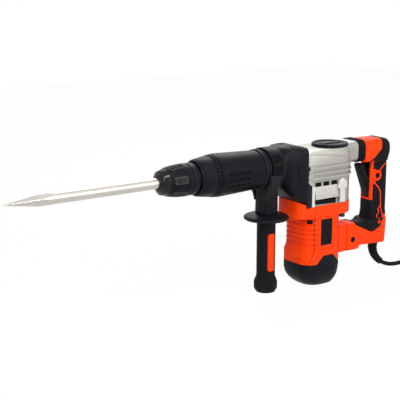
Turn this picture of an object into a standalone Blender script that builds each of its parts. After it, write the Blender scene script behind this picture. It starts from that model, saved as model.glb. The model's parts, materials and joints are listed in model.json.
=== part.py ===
"""Electric demolition hammer (jackhammer) as an assembly of separate pieces.

Frame: metres, +Z up. The tool lies along X with the chisel toward -X and the rear
handle toward +X, standing on its motor tail cap and on the end of its side grip.
All pieces hang on one empty whose origin is the barrel axis at the nose front, so
every place below is written from there: X back along the barrel, Z up from its axis.
"""

import math

import bmesh
import bpy
from mathutils import Matrix, Vector

# Clearances and shared fits
FIT_GAP = 0.0003
RUN_GAP = 0.0005

# Stance
AXIS_HEIGHT = 0.222

# Chisel: round shank, four-sided bull point
CHISEL_LENGTH = 0.350
CHISEL_DIAMETER = 0.018
CHISEL_SHANK_IN = 0.083
CHISEL_POINT_LENGTH = 0.082
CHISEL_POINT_TURN = math.radians(26.0)
CHISEL_TIP_FLAT = 0.0016
CHISEL_CHAMFER = 0.0015
CHISEL_TRAVEL = 0.012
SHANK_GROOVE_DEPTH = 0.0024

# Nose: dust seal, tool holder and locking sleeve
SEAL_LENGTH = 0.011
SEAL_FRONT_DIAMETER = 0.027
SEAL_REAR_DIAMETER = 0.0325
HOLDER_DIAMETER = 0.036
HOLDER_NECK_DIAMETER = 0.026
HOLDER_STEP_X = 0.0145
HOLDER_FLANGE_LENGTH = 0.012
HOLDER_STOP_WALL = 0.012
SLEEVE_FRONT_X = 0.0045
SLEEVE_LENGTH = 0.0635
SLEEVE_FRONT_DIAMETER = 0.0395
SLEEVE_DIAMETER = 0.0544
SLEEVE_REAR_DIAMETER = 0.052
SLEEVE_CONE_LENGTH = 0.026
SCALLOP_COUNT = 6
SCALLOP_DIAMETER = 0.030
SCALLOP_DEPTH = 0.0028
GRIP_PAD_COUNT = 8
GRIP_PAD_LENGTH = 0.016
GRIP_PAD_WIDTH = 0.012
GRIP_PAD_RISE = 0.0012
ROLLER_DIAMETER = 0.007
ROLLER_LENGTH = 0.011
ROLLER_X = 0.052
SPRING_WIRE = 0.0016
SPRING_DIAMETER = 0.041
SPRING_TURNS = 5
SPRING_SEAT_X = 0.045

# Barrel: notched front collar, tapered sleeve, ridged neck
COLLAR_FRONT_X = 0.077
COLLAR_LENGTH = 0.027
COLLAR_DIAMETER = 0.063
COLLAR_CHAMFER = 0.004
NOTCH_COUNT = 30
NOTCH_LENGTH = 0.0055
NOTCH_DEPTH = 0.0024
BARREL_LENGTH = 0.094
BARREL_FRONT_DIAMETER = 0.0745
BARREL_REAR_DIAMETER = 0.067
BARREL_BORE = 0.050
GROOVE_LENGTH = 0.048
GROOVE_HEIGHT = 0.0036
GROOVE_DEPTH = 0.0018
GROOVE_PITCH_ANGLE = math.radians(17.0)
NECK_DIAMETER = 0.066
NECK_RIDGE_DIAMETER = 0.070
NECK_RIDGE_WIDTH = 0.005
NECK_BAND_SEAT_DIAMETER = 0.0625

# Hammer mechanism on the barrel axis
CYLINDER_OUTER = 0.044
CYLINDER_BORE = 0.0376
CYLINDER_REAR_X = 0.318
PISTON_LENGTH = 0.060
PISTON_WALL = 0.003
PISTON_CROWN = 0.0085
STRIKER_LENGTH = 0.044
STRIKER_NOSE_LENGTH = 0.020
STRIKER_NOSE_DIAMETER = 0.026
STRIKER_RING_WIDTH = 0.004
STRIKER_X = 0.172
BOLT_DIAMETER = 0.030
BOLT_SHANK_DIAMETER = 0.019
BOLT_LENGTH = 0.054
BOLT_HEAD_LENGTH = 0.018

# Crank drive: vertical crankshaft behind a vertical motor
CRANK_THROW = 0.008
ROD_LENGTH = 0.075
ROD_THICKNESS = 0.013
ROD_BIG_END = 0.026
ROD_SMALL_END = 0.011
ROD_SHANK_WIDTH = 0.010
CRANK_PIN_DIAMETER = 0.012
WRIST_PIN_DIAMETER = 0.006
CRANK_DISC_DIAMETER = 0.044
CRANK_DISC_THICKNESS = 0.010
CRANKSHAFT_DIAMETER = 0.014
GEAR_MODULE = 0.0016
PINION_TEETH = 9
GEAR_TEETH = 36
GEAR_THICKNESS = 0.009
GEAR_BACKLASH = 0.0007
BEARING_OUTER = 0.028
BEARING_WIDTH = 0.009
GEAR_TOP_Z = -0.024

# Gear housing (aluminium) with its round grease cap and rear neck
HOUSING_FRONT_X = 0.288
HOUSING_WIDTH = 0.074
HOUSING_TOP_Z = 0.025
HOUSING_BOTTOM_Z = -0.073
HOUSING_WALL = 0.004
HOUSING_CORNER = 0.010
HOUSING_TOP_CHAMFER = 0.0035
HOUSING_SHOULDER_DROP = 0.0105
WEB_TOP_Z = -0.036
WEB_BOTTOM_Z = -0.048
DECK_BOTTOM_Z = 0.0195
HOUSING_RIB_RISE = 0.0016
HOUSING_RIB_HEIGHT = 0.004
HOUSING_RIB_LEVELS = (-0.0065, -0.0145, -0.0225)
REAR_NECK_REAR_X = 0.418
REAR_NECK_TOP_Z = 0.030
REAR_NECK_BOTTOM_Z = -0.007
REAR_NECK_WIDTH = 0.050
CAP_DIAMETER = 0.066
CAP_RISE = 0.0055
CAP_SPIGOT_DIAMETER = 0.056
GRILLE_FRONT_X = 0.305
GRILLE_REAR_X = 0.361
GRILLE_TOP_Z = -0.029
GRILLE_DEPTH = 0.002
GRILLE_HOLE_COUNT = 3
GRILLE_HOLE_LENGTH = 0.0115
GRILLE_HOLE_HEIGHT = 0.009
GRILLE_HOLE_DEPTH = 0.0034
VENT_HEIGHT = 0.008
POST_WIDTH = 0.014
POST_RISE = 0.003

# Front cover (black) between the barrel neck and the gear housing
COVER_FRONT_X = 0.2415
COVER_TOP_Z = 0.0355
COVER_WIDTH = 0.079
COVER_LIP_Z = -0.060
COVER_BOTTOM_Z = -0.069
COVER_SHOULDER_X = 0.270
COVER_VENT_COUNT = 4
COVER_VENT_PITCH = 0.0065
COVER_VENT_WIDTH = 0.003
COVER_PAD_RISE = 0.0015

# Motor housing (orange), tail cap (black) and the lug that carries the rear handle
MOTOR_X = 0.334
MOTOR_LENGTH = 0.083
MOTOR_WIDTH = 0.076
MOTOR_CORNER = 0.022
MOTOR_BAND_FRONT_X = 0.273
MOTOR_BAND_BOTTOM_Z = -0.094
TAIL_CAP_HEIGHT = 0.042
MOTOR_BORE = 0.067
MOTOR_FLARE = 0.004
MOTOR_FLARE_HEIGHT = 0.020
MOTOR_RIB_COUNT = 6
MOTOR_RIB_PITCH = 0.009
MOTOR_RIB_DEPTH = 0.0014
MOTOR_RIB_HEIGHT = 0.004
TAIL_TAPER_HEIGHT = 0.028
TAIL_FRONT_TAPER = 0.018
TAIL_REAR_TAPER = 0.007
TAIL_SIDE_TAPER = 0.010
BADGE_LENGTH = 0.036
BADGE_RISE = 0.014
PLATE_LENGTH = 0.033
PLATE_FOOT_RISE = 0.0275
PLATE_TOP_Z = -0.0965
PLATE_THICKNESS = 0.0015
STATOR_TOP_Z = -0.098
ARMATURE_DIAMETER = 0.037
ARMATURE_SLOTS = 12
ARMATURE_SLOT_DEPTH = 0.005
ARMATURE_SLOT_WIDTH = 0.0026
ARMATURE_SHAFT_DIAMETER = 0.010
FAN_DIAMETER = 0.060
FAN_TOP_Z = -0.054
FAN_HEIGHT = 0.015
FAN_DISC = 0.003
FAN_HUB_DIAMETER = 0.018
FAN_BLADES = 9
FAN_BLADE_THICKNESS = 0.002
COMMUTATOR_DIAMETER = 0.028
COMMUTATOR_LENGTH = 0.018
COMMUTATOR_RISE = 0.024
COMMUTATOR_GAP = 0.008
BRUSH_SIZE = 0.007
BRUSH_LENGTH = 0.012
BRUSH_HOLDER_WALL = 0.0025
TAIL_BEARING_DROP = 0.009

# Rear handle: two shells, rear overmould, bellows, trigger, lock button
PIVOT_X = 0.415
PIVOT_RISE = 0.026
PIVOT_PIN_DIAMETER = 0.008
LUG_RADIUS = 0.013
LUG_WIDTH = 0.024
ARM_WIDTH = 0.042
ARM_ABOVE_PIVOT = 0.0315
ARM_BELOW_PIVOT = 0.0215
ARM_STEP_X = 0.436
STEP_BELOW_PIVOT = 0.015
HANDLE_SEAM_X = 0.400
HANDLE_SEAM_GAP = 0.002
HANDLE_FRONT_X = 0.438
HANDLE_REAR_X = 0.5055
HANDLE_TOP_Z = 0.0295
HANDLE_HEAD_BOTTOM_Z = -0.013
HANDLE_WIDTH = 0.044
HANDLE_ROUND = 0.008
CROWN_RADIUS = 0.016
NIP_DEPTH = 0.0055
NIP_HIGH = 0.010
PALM_LEAN = 0.005
PALM_HIGH = 0.026
PALM_LOW = 0.036
PALM_RADIUS = 0.025
WAIST_DEPTH = 0.012
WAIST_RADIUS = 0.012
HEEL_HEIGHT = 0.010
HEEL_SET = 0.007
FOOT_DROP = 0.0035
STEP_RADIUS = 0.002
ARM_TOP_RADIUS = 0.020
CROTCH_LENGTH = 0.014
CROTCH_DROP = 0.008
CROTCH_RADIUS = 0.015
THROAT_RADIUS = 0.004
GRIP_FRONT_X = 0.463
GRIP_WAIST_Z = -0.024
GRIP_WIDTH = 0.031
GRIP_FRONT_ROUND = 0.006
GRIP_REAR_ROUND = 0.009
GRIP_ROUND_RAMP = 0.014
STRIP_WIDTH = 0.011
MOULD_BELOW_TRIGGER = 0.004
MOULD_WALL = 0.004
MOULD_FLANK = 0.005
MOULD_REACH = 0.0415
MOULD_SHOULDER_Z = -0.003
MOULD_RAMP_DROP = 0.007
MOULD_FOOT_DROP = 0.0222
MOULD_HEEL_LENGTH = 0.0203
MOULD_HEEL_RISE = 0.008
MOULD_PALM_LENGTH = 0.0102
MOULD_PALM_RISE = 0.0279
SWITCH_WIDTH = 0.019
SWITCH_HEIGHT = 0.036
SWITCH_DEPTH = 0.016
SWITCH_TOP_Z = -0.022
OVERMOULD_FRONT_X = 0.4805
BELLOWS_RIBS = 3
BELLOWS_RIB_RISE = 0.003
BELLOWS_WALL = 0.004
DAMPER_DIAMETER = 0.018
DAMPER_WIRE = 0.002
DAMPER_TURNS = 4
TRIGGER_WIDTH = 0.018
TRIGGER_TOP_X = 0.437
TRIGGER_TOP_Z = -0.0165
TRIGGER_PIVOT_X = 0.4685
TRIGGER_PIVOT_Z = -0.078
TRIGGER_EAR_RADIUS = 0.0045
TRIGGER_DEPTH = 0.014
TRIGGER_PIN_DIAMETER = 0.004
BUTTON_X = 0.4765
BUTTON_Z = -0.0405
BUTTON_DIAMETER = 0.010
BUTTON_BOSS_DIAMETER = 0.020
BUTTON_BOSS_RISE = 0.0015
BUTTON_TRAVEL = 0.0025
BAND_BOLT_DIAMETER = 0.005
BAND_BOLT_HEAD = 0.010
BAND_BOLT_BACK = 0.012
BAND_BOLT_SPREAD = 0.024

# Side handle: clamp band, neck, flange, grip with inlay
SIDE_X = 0.2265
BAND_WIDTH = 0.0265
BAND_WALL = 0.005
SIDE_NECK_LENGTH = 0.0292
SIDE_NECK_WIDTH = 0.034
SIDE_NECK_TOP_Z = -0.030
SIDE_NECK_BOTTOM_Z = -0.0805
FLANGE_DIAMETER = 0.080
FLANGE_HEIGHT = 0.010
GRIP_DIAMETER = 0.033
GRIP_END_DIAMETER = 0.0415
GRIP_END_LENGTH = 0.022
GRIP_FOOT_DIAMETER = 0.034
STUD_DIAMETER = 0.008
STUD_LENGTH = 0.060
INLAY_WIDTH = 0.015
INLAY_LENGTH = 0.068
INLAY_TOP_Z = -0.115
INLAY_DEPTH = 0.002

# Mains lead: strain-relief boot, free run, put-away coil, tie and plug
CORD_DIAMETER = 0.008
CORD_BUTT = 0.002
BOOT_TOP_DIAMETER = 0.019
BOOT_END_DIAMETER = 0.013
BOOT_KNOTS = 5
CORD_ROUTE = ((0.48700, 0.00000, 0.04960), (0.48650, 0.00000, 0.04035), (0.48746, -0.00095, 0.03142),
              (0.48988, -0.00304, 0.02349), (0.49400, -0.00637, 0.01633), (0.49966, -0.01075, 0.01059),
              (0.50668, -0.01551, 0.00676), (0.51463, -0.02003, 0.00496), (0.52450, -0.02359, 0.00462),
              (0.53593, -0.02470, 0.00502), (0.54658, -0.02341, 0.00516), (0.55815, -0.01855, 0.00500),
              (0.56937, -0.01027, 0.00523), (0.57995, -0.00210, 0.00541), (0.59066, 0.00584, 0.00559),
              (0.60289, 0.01221, 0.00575), (0.61625, 0.01620, 0.00586), (0.63000, 0.01750, 0.00590))
COIL_X = 0.630
COIL_Y = -0.040
COIL_RISE = 0.0059
COIL_LAYER = 0.0092
COIL_OUTER_RADIUS = 0.0575
COIL_TURNS_PER_LAYER = 3
COIL_PITCH = 0.0096
PLUG_LEAD = 0.045
COIL_POINTS = 20
PLUG_LENGTH = 0.038
PLUG_DIAMETER = 0.036
PLUG_PIN_LENGTH = 0.019
PLUG_PIN_DIAMETER = 0.0048
PLUG_PIN_SPACING = 0.019
TIE_WIDTH = 0.006
TIE_THICKNESS = 0.0016

# Colours from the photograph: (base colour, roughness, metallic)
ORANGE = ((0.92, 0.07, 0.012), 0.38, 0.0)
BLACK_PLASTIC = ((0.020, 0.021, 0.026), 0.48, 0.0)
BLACK_RUBBER = ((0.012, 0.012, 0.013), 0.75, 0.0)
ALUMINIUM = ((0.66, 0.64, 0.58), 0.42, 0.9)
STEEL = ((0.50, 0.50, 0.50), 0.30, 1.0)
CHROME = ((0.78, 0.77, 0.74), 0.14, 1.0)
COPPER = ((0.70, 0.30, 0.14), 0.35, 1.0)
BRASS = ((0.72, 0.52, 0.22), 0.35, 1.0)
CARBON = ((0.03, 0.03, 0.03), 0.60, 0.1)

ROUND_STEPS = 28
INNER_STEPS = 20
SMALL_STEPS = 12

CRANK_X = MOTOR_X + GEAR_MODULE * (PINION_TEETH + GEAR_TEETH) / 2

# Places worked out from the sizes above
CHISEL_TIP_X = CHISEL_SHANK_IN - CHISEL_LENGTH
BARREL_FRONT_X = COLLAR_FRONT_X + COLLAR_LENGTH + FIT_GAP
BARREL_REAR_X = BARREL_FRONT_X + BARREL_LENGTH
BAND_FRONT_X = SIDE_X - BAND_WIDTH / 2
BAND_REAR_X = SIDE_X + BAND_WIDTH / 2
CRANK_PIN_X = CRANK_X - CRANK_THROW
WRIST_X = CRANK_PIN_X - ROD_LENGTH
CRANK_DISC_TOP_Z = -ROD_THICKNESS / 2 - RUN_GAP
CRANK_DISC_BOTTOM_Z = CRANK_DISC_TOP_Z - CRANK_DISC_THICKNESS
GEAR_BOTTOM_Z = GEAR_TOP_Z - GEAR_THICKNESS
MOTOR_REAR_X = MOTOR_X + MOTOR_LENGTH / 2
MOTOR_FRONT_X = MOTOR_X - MOTOR_LENGTH / 2
FLOOR_Z = -AXIS_HEIGHT
MOTOR_BOTTOM_Z = FLOOR_Z + TAIL_CAP_HEIGHT
TAIL_BEARING_TOP_Z = MOTOR_BOTTOM_Z - TAIL_BEARING_DROP
COMMUTATOR_TOP_Z = MOTOR_BOTTOM_Z + COMMUTATOR_RISE
STATOR_LENGTH = STATOR_TOP_Z - COMMUTATOR_TOP_Z - COMMUTATOR_GAP
PIVOT_Z = MOTOR_BOTTOM_Z + PIVOT_RISE
ARM_TOP_Z = PIVOT_Z + ARM_ABOVE_PIVOT
ARM_BOTTOM_Z = PIVOT_Z - ARM_BELOW_PIVOT
ARM_STEP_Z = PIVOT_Z - STEP_BELOW_PIVOT
COIL_Z = FLOOR_Z + COIL_RISE
COIL_INNER_RADIUS = COIL_OUTER_RADIUS - COIL_PITCH * (COIL_TURNS_PER_LAYER - 0.5)
HOLDER_FLANGE_X = BARREL_FRONT_X + HOLDER_STOP_WALL + FIT_GAP
HOLDER_REAR_X = HOLDER_FLANGE_X + HOLDER_FLANGE_LENGTH
BOLT_SEAT_X = CHISEL_SHANK_IN + FIT_GAP + BOLT_LENGTH - BOLT_HEAD_LENGTH - RUN_GAP
NECK_REAR_X = HOUSING_FRONT_X - FIT_GAP
PISTON_FRONT_X = WRIST_X - ROD_SMALL_END / 2 - 2 * CRANK_THROW - RUN_GAP - PISTON_CROWN
PLATE_X = MOTOR_X
PLATE_HEIGHT = PLATE_TOP_Z - PLATE_FOOT_RISE - MOTOR_BOTTOM_Z
BADGE_X = MOTOR_X + PLATE_LENGTH / 8
BUTTON_FACE_Y = -GRIP_WIDTH / 2 - BUTTON_BOSS_RISE
BUTTON_INNER_Y = -SWITCH_WIDTH / 2 - 2 * FIT_GAP


class Workshop:
    """Holds the root empty and the modelling helpers that all pieces share."""

    def __init__(self):
        for old in list(bpy.data.objects):
            bpy.data.objects.remove(old, do_unlink=True)
        self.root = bpy.data.objects.new("hammer_root", None)
        self.root.location = (-(CHISEL_TIP_X + HANDLE_REAR_X) / 2, 0.0, AXIS_HEIGHT)
        bpy.context.scene.collection.objects.link(self.root)
        self.materials = {}

    def paint(self, obj, finish):
        """Give a piece its own Principled material made from a finish."""
        colour, roughness, metallic = finish
        material = bpy.data.materials.new(obj.name + "_finish")
        material.use_nodes = True
        shader = material.node_tree.nodes["Principled BSDF"]
        shader.inputs["Base Color"].default_value = (*colour, 1.0)
        shader.inputs["Roughness"].default_value = roughness
        shader.inputs["Metallic"].default_value = metallic
        material.diffuse_color = (*colour, 1.0)
        obj.data.materials.clear()
        obj.data.materials.append(material)

    def add(self, name, bm, finish, pivot=(0.0, 0.0, 0.0), parent=None):
        """Turn a bmesh into a named piece whose origin sits on its pivot."""
        bmesh.ops.recalc_face_normals(bm, faces=bm.faces)
        bmesh.ops.translate(bm, verts=bm.verts, vec=-Vector(pivot))
        mesh = bpy.data.meshes.new(name)
        bm.to_mesh(mesh)
        bm.free()
        obj = bpy.data.objects.new(name, mesh)
        bpy.context.scene.collection.objects.link(obj)
        obj.parent = parent or self.root
        obj.location = pivot
        mesh.shade_smooth()
        mesh.set_sharp_from_angle(angle=math.radians(32.0))
        if finish is None:
            obj.hide_render = True
            obj.display_type = "WIRE"
        else:
            self.paint(obj, finish)
        return obj

    def combine(self, obj, bm, operation):
        """Cut a bmesh out of a piece, or join it on, with a Boolean modifier."""
        tool = self.add(obj.name + "_" + operation.lower(), bm, None)
        modifier = obj.modifiers.new(operation.lower(), "BOOLEAN")
        modifier.operation = operation
        modifier.object = tool
        modifier.solver = "EXACT"
        return obj

    def cut(self, obj, bm):
        return self.combine(obj, bm, "DIFFERENCE")

    def join(self, obj, bm):
        return self.combine(obj, bm, "UNION")


def turned(profile, axis="X", steps=ROUND_STEPS, centre=(0.0, 0.0, 0.0)):
    """Revolve a closed (along, radius) profile about an axis through centre."""
    bm = bmesh.new()
    ring = [bm.verts.new((along, 0.0, radius)) for along, radius in profile]
    edges = [bm.edges.new((ring[i - 1], ring[i])) for i in range(len(ring))]
    bmesh.ops.spin(bm, geom=ring + edges, cent=(0, 0, 0), axis=(1, 0, 0),
                   angle=math.tau, steps=steps, use_merge=True)
    bmesh.ops.remove_doubles(bm, verts=bm.verts, dist=1e-7)
    loose = [face for face in bm.faces if face.calc_area() < 1e-14]
    bmesh.ops.delete(bm, geom=loose, context="FACES_ONLY")
    wires = [edge for edge in bm.edges if not edge.link_faces]
    bmesh.ops.delete(bm, geom=wires, context="EDGES")
    turn = {"X": Matrix.Identity(3), "Y": Matrix.Rotation(math.pi / 2, 3, "Z"),
            "Z": Matrix.Rotation(-math.pi / 2, 3, "Y")}[axis]
    bmesh.ops.rotate(bm, verts=bm.verts, cent=(0, 0, 0), matrix=turn)
    bmesh.ops.translate(bm, verts=bm.verts, vec=centre)
    return bm


def drum(start, end, diameter, axis="X", steps=INNER_STEPS, centre=(0.0, 0.0, 0.0)):
    """A plain solid cylinder from start to end along an axis."""
    radius = diameter / 2
    profile = [(start, 0.0), (start, radius), (end, radius), (end, 0.0)]
    return turned(profile, axis, steps, centre)


def tube(start, end, outer, inner, axis="X", steps=INNER_STEPS, centre=(0.0, 0.0, 0.0)):
    """A plain hollow cylinder from start to end along an axis."""
    profile = [(start, inner / 2), (start, outer / 2), (end, outer / 2), (end, inner / 2)]
    return turned(profile, axis, steps, centre)


def place(plane, along, across, depth):
    """A point of a drawing plane: XZ drawings run deep in Y, XY in Z, YZ in X."""
    return {"XZ": (along, depth, across), "XY": (along, across, depth),
            "YZ": (depth, along, across)}[plane]


def extruded(outline, plane, start, end):
    """Extrude a closed 2-D outline between two depths of its drawing plane."""
    return lofted([[place(plane, a, b, start) for a, b in outline],
                   [place(plane, a, b, end) for a, b in outline]])


def lofted(sections):
    """Skin closed rings of equal point counts one after another and cap both ends."""
    bm = bmesh.new()
    rings = [[bm.verts.new(point) for point in section] for section in sections]
    count = len(rings[0])
    for lower, upper in zip(rings, rings[1:]):
        for i in range(count):
            j = (i + 1) % count
            bm.faces.new((lower[i], lower[j], upper[j], upper[i]))
    bm.faces.new(list(reversed(rings[0])))
    bm.faces.new(rings[-1])
    return bm


def block(low, high):
    """A box between two opposite corners."""
    outline = [(low[0], low[1]), (high[0], low[1]), (high[0], high[1]), (low[0], high[1])]
    return extruded(outline, "XY", low[2], high[2])


def arc(centre, radius, start, end, steps):
    """Points of a circular arc, angles in degrees."""
    angles = [math.radians(start + (end - start) * i / steps) for i in range(steps + 1)]
    return [(centre[0] + radius * math.cos(a), centre[1] + radius * math.sin(a)) for a in angles]


def rounded(corners, steps=3):
    """Round the (x, y, radius) corners of a closed outline with tangent arcs."""
    points = []
    for i, (x, y, radius) in enumerate(corners):
        here = Vector((x, y))
        before = (Vector(corners[i - 1][:2]) - here).normalized()
        after = (Vector(corners[(i + 1) % len(corners)][:2]) - here).normalized()
        if radius == 0.0:
            points.append((x, y))
            continue
        half = before.angle(after) / 2
        centre = here + (before + after).normalized() * (radius / math.sin(half))
        first = here + before * (radius / math.tan(half)) - centre
        last = here + after * (radius / math.tan(half)) - centre
        sweep = first.angle_signed(last)
        for k in range(steps + 1):
            spoke = first.copy()
            spoke.rotate(Matrix.Rotation(-sweep * k / steps, 2))
            points.append(tuple(centre + spoke))
    return points


def soft_box(left, right, bottom, top, radius, steps=3):
    """A rectangle with four equal round corners."""
    return rounded([(left, bottom, radius), (right, bottom, radius),
                    (right, top, radius), (left, top, radius)], steps)


def stadium(front, rear_centre, half_width, corner, grow=0.0):
    """Plan outline with two front corners and a half-round rear end."""
    half = half_width + grow
    nose = front - grow
    front_arcs = arc((nose + corner, half - corner), corner, 90, 180, 3)
    other_arcs = arc((nose + corner, corner - half), corner, 180, 270, 3)
    return front_arcs + other_arcs + arc((rear_centre, 0.0), half, -90, 90, 12)


def merged(parts):
    """Put several bmeshes that don't touch into one cutting tool."""
    whole = bmesh.new()
    for part in parts:
        mesh = bpy.data.meshes.new("part")
        part.to_mesh(mesh)
        part.free()
        whole.from_mesh(mesh)
        bpy.data.meshes.remove(mesh)
    return whole


def turned_copies(make, count, axis="X", start=0.0):
    """Cutting tool of copies made around an axis through the origin."""
    parts = []
    for i in range(count):
        part = make()
        spin = Matrix.Rotation(start + math.tau * i / count, 3, axis)
        bmesh.ops.rotate(part, verts=part.verts, cent=(0, 0, 0), matrix=spin)
        parts.append(part)
    return merged(parts)


def spun(part, angle, axis="X"):
    """Turn a bmesh about an axis through the origin."""
    spin = Matrix.Rotation(angle, 3, axis)
    bmesh.ops.rotate(part, verts=part.verts, cent=(0, 0, 0), matrix=spin)
    return part


def build_chisel(shop):
    """Bull-point chisel: chamfered shank with two closed grooves, four-sided point."""
    radius = CHISEL_DIAMETER / 2
    point_x = CHISEL_TIP_X + CHISEL_POINT_LENGTH
    shank_end = CHISEL_SHANK_IN
    profile = [(CHISEL_TIP_X, 0.0), (CHISEL_TIP_X, radius), (point_x, radius),
               (shank_end - CHISEL_CHAMFER, radius), (shank_end, radius - CHISEL_CHAMFER),
               (shank_end, 0.0)]
    chisel = shop.add("chisel", turned(profile, steps=INNER_STEPS), CHROME)
    tip_half = CHISEL_TIP_FLAT / 2
    reach = CHISEL_DIAMETER
    over = CHISEL_CHAMFER
    low = tip_half - over * (radius - tip_half) / CHISEL_POINT_LENGTH
    facet = [(CHISEL_TIP_X - over, low), (point_x, radius), (point_x, reach),
             (CHISEL_TIP_X - over, reach)]
    for i in range(4):
        turn = CHISEL_POINT_TURN + i * math.pi / 2
        shop.cut(chisel, spun(extruded(facet, "XZ", -reach, reach), turn))
    front = ROLLER_X - ROLLER_LENGTH / 2 - RUN_GAP
    rear = front + ROLLER_LENGTH + CHISEL_TRAVEL + 2 * RUN_GAP
    floor = radius - SHANK_GROOVE_DEPTH
    half = ROLLER_DIAMETER / 2 + RUN_GAP
    grooves = [block((front, min(side * floor, side * reach), -half),
                     (rear, max(side * floor, side * reach), half)) for side in (-1, 1)]
    shop.cut(chisel, merged(grooves))


def build_tool_holder(shop):
    """Dust seal and the steel tool holder with its two roller windows."""
    bore = CHISEL_DIAMETER / 2 + FIT_GAP
    neck = HOLDER_NECK_DIAMETER / 2
    lip = SEAL_LENGTH / 2
    seal_rear = HOLDER_STEP_X - FIT_GAP
    front = SEAL_FRONT_DIAMETER / 2
    edge = SEAL_LENGTH / 6
    seal = [(0.0, bore), (0.0, front - edge / 2), (edge, front),
            (SEAL_LENGTH, SEAL_REAR_DIAMETER / 2), (seal_rear, SEAL_REAR_DIAMETER / 2),
            (seal_rear, neck + FIT_GAP), (lip, neck + FIT_GAP), (lip, bore)]
    shop.add("dust_seal", turned(seal, steps=INNER_STEPS), BLACK_RUBBER)

    flange = BARREL_BORE / 2 - FIT_GAP
    head_bore = BOLT_DIAMETER / 2 + FIT_GAP
    shank_bore = BOLT_SHANK_DIAMETER / 2 + FIT_GAP
    body = HOLDER_DIAMETER / 2
    start = lip + FIT_GAP
    profile = [(start, bore), (start, neck), (HOLDER_STEP_X, neck), (HOLDER_STEP_X, body),
               (HOLDER_FLANGE_X, body), (HOLDER_FLANGE_X, flange), (HOLDER_REAR_X, flange),
               (HOLDER_REAR_X, head_bore), (BOLT_SEAT_X, head_bore), (BOLT_SEAT_X, shank_bore),
               (CHISEL_SHANK_IN - FIT_GAP, shank_bore), (CHISEL_SHANK_IN - FIT_GAP, bore)]
    holder = shop.add("tool_holder", turned(profile, steps=INNER_STEPS), STEEL)
    along = ROLLER_LENGTH / 2 + FIT_GAP
    half = ROLLER_DIAMETER / 2 + FIT_GAP
    inner = CHISEL_DIAMETER / 4
    outer = HOLDER_DIAMETER
    windows = [block((ROLLER_X - along, min(side * inner, side * outer), -half),
                     (ROLLER_X + along, max(side * inner, side * outer), half)) for side in (-1, 1)]
    shop.cut(holder, merged(windows))
    centre = CHISEL_DIAMETER / 2 - SHANK_GROOVE_DEPTH + ROLLER_DIAMETER / 2 + FIT_GAP
    for number, side in ((1, -1), (2, 1)):
        place_y = side * centre
        roller = drum(ROLLER_X - ROLLER_LENGTH / 2, ROLLER_X + ROLLER_LENGTH / 2, ROLLER_DIAMETER,
                      steps=SMALL_STEPS, centre=(0.0, place_y, 0.0))
        shop.add("locking_roller_%d" % number, roller, STEEL, pivot=(ROLLER_X, place_y, 0.0))


def helix(start, end, diameter, turns, axis_z=0.0):
    """Points of a compression spring along X, 10 to a curl, with flat-run ends."""
    steps = turns * 10
    points = []
    for i in range(steps + 1):
        angle = math.tau * turns * i / steps
        along = start + (end - start) * i / steps
        points.append((along, diameter / 2 * math.cos(angle), axis_z + diameter / 2 * math.sin(angle)))
    return points


def wire(shop, name, points, diameter, finish, resolution, pivot=(0.0, 0.0, 0.0)):
    """A round wire or cord along points, as a curve with a bevel and filled caps."""
    curve = bpy.data.curves.new(name, "CURVE")
    curve.dimensions = "3D"
    curve.bevel_depth = diameter / 2
    curve.bevel_resolution = resolution
    curve.use_fill_caps = True
    spline = curve.splines.new("POLY")
    spline.points.add(len(points) - 1)
    for target, point in zip(spline.points, points):
        target.co = (*(Vector(point) - Vector(pivot)), 1.0)
    obj = bpy.data.objects.new(name, curve)
    bpy.context.scene.collection.objects.link(obj)
    obj.parent = shop.root
    obj.location = pivot
    shop.paint(obj, finish)
    return obj


def build_locking_sleeve(shop):
    """Pull-back locking sleeve with finger scallops and grip pads, and its spring."""
    bore = HOLDER_DIAMETER / 2 + FIT_GAP
    chamber = SPRING_DIAMETER / 2 + SPRING_WIRE / 2 + RUN_GAP
    rear = SLEEVE_FRONT_X + SLEEVE_LENGTH
    cone_end = SLEEVE_FRONT_X + SLEEVE_CONE_LENGTH
    front, middle, tail = SLEEVE_FRONT_DIAMETER / 2, SLEEVE_DIAMETER / 2, SLEEVE_REAR_DIAMETER / 2
    cone = [(SLEEVE_FRONT_X + SLEEVE_CONE_LENGTH * t,
             front + (middle - front) * math.sin(t * math.pi / 2)) for t in (0.0, 0.25, 0.5, 0.75)]
    profile = [(SLEEVE_FRONT_X, bore)] + cone + [(cone_end, middle), (rear, tail), (rear, chamber),
                                                 (SPRING_SEAT_X, chamber), (SPRING_SEAT_X, bore)]
    sleeve = shop.add("locking_sleeve", turned(profile), BLACK_PLASTIC)
    scallop_x = SLEEVE_FRONT_X + SLEEVE_CONE_LENGTH * 0.4
    far = middle + SCALLOP_DIAMETER / 2 - SCALLOP_DEPTH

    def scallop():
        return turned([(scallop_x - SCALLOP_DIAMETER / 2, 0.0), (scallop_x, SCALLOP_DIAMETER / 2),
                       (scallop_x + SCALLOP_DIAMETER / 2, 0.0)], steps=12, centre=(0.0, 0.0, far))

    shop.cut(sleeve, turned_copies(scallop, SCALLOP_COUNT, start=math.pi / SCALLOP_COUNT))
    pad_front = cone_end + GRIP_PAD_WIDTH / 3
    outline = soft_box(pad_front, pad_front + GRIP_PAD_LENGTH, -GRIP_PAD_WIDTH / 2, GRIP_PAD_WIDTH / 2,
                       GRIP_PAD_WIDTH / 6, 1)

    def pad():
        return extruded(outline, "XY", middle - GRIP_PAD_RISE * 2, middle + GRIP_PAD_RISE)

    shop.join(sleeve, turned_copies(pad, GRIP_PAD_COUNT))
    spring_end = COLLAR_FRONT_X - FIT_GAP - SPRING_WIRE / 2
    spring_start = SPRING_SEAT_X + FIT_GAP + SPRING_WIRE / 2
    wire(shop, "sleeve_spring", helix(spring_start, spring_end, SPRING_DIAMETER, SPRING_TURNS),
         SPRING_WIRE, STEEL, 0)


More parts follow.
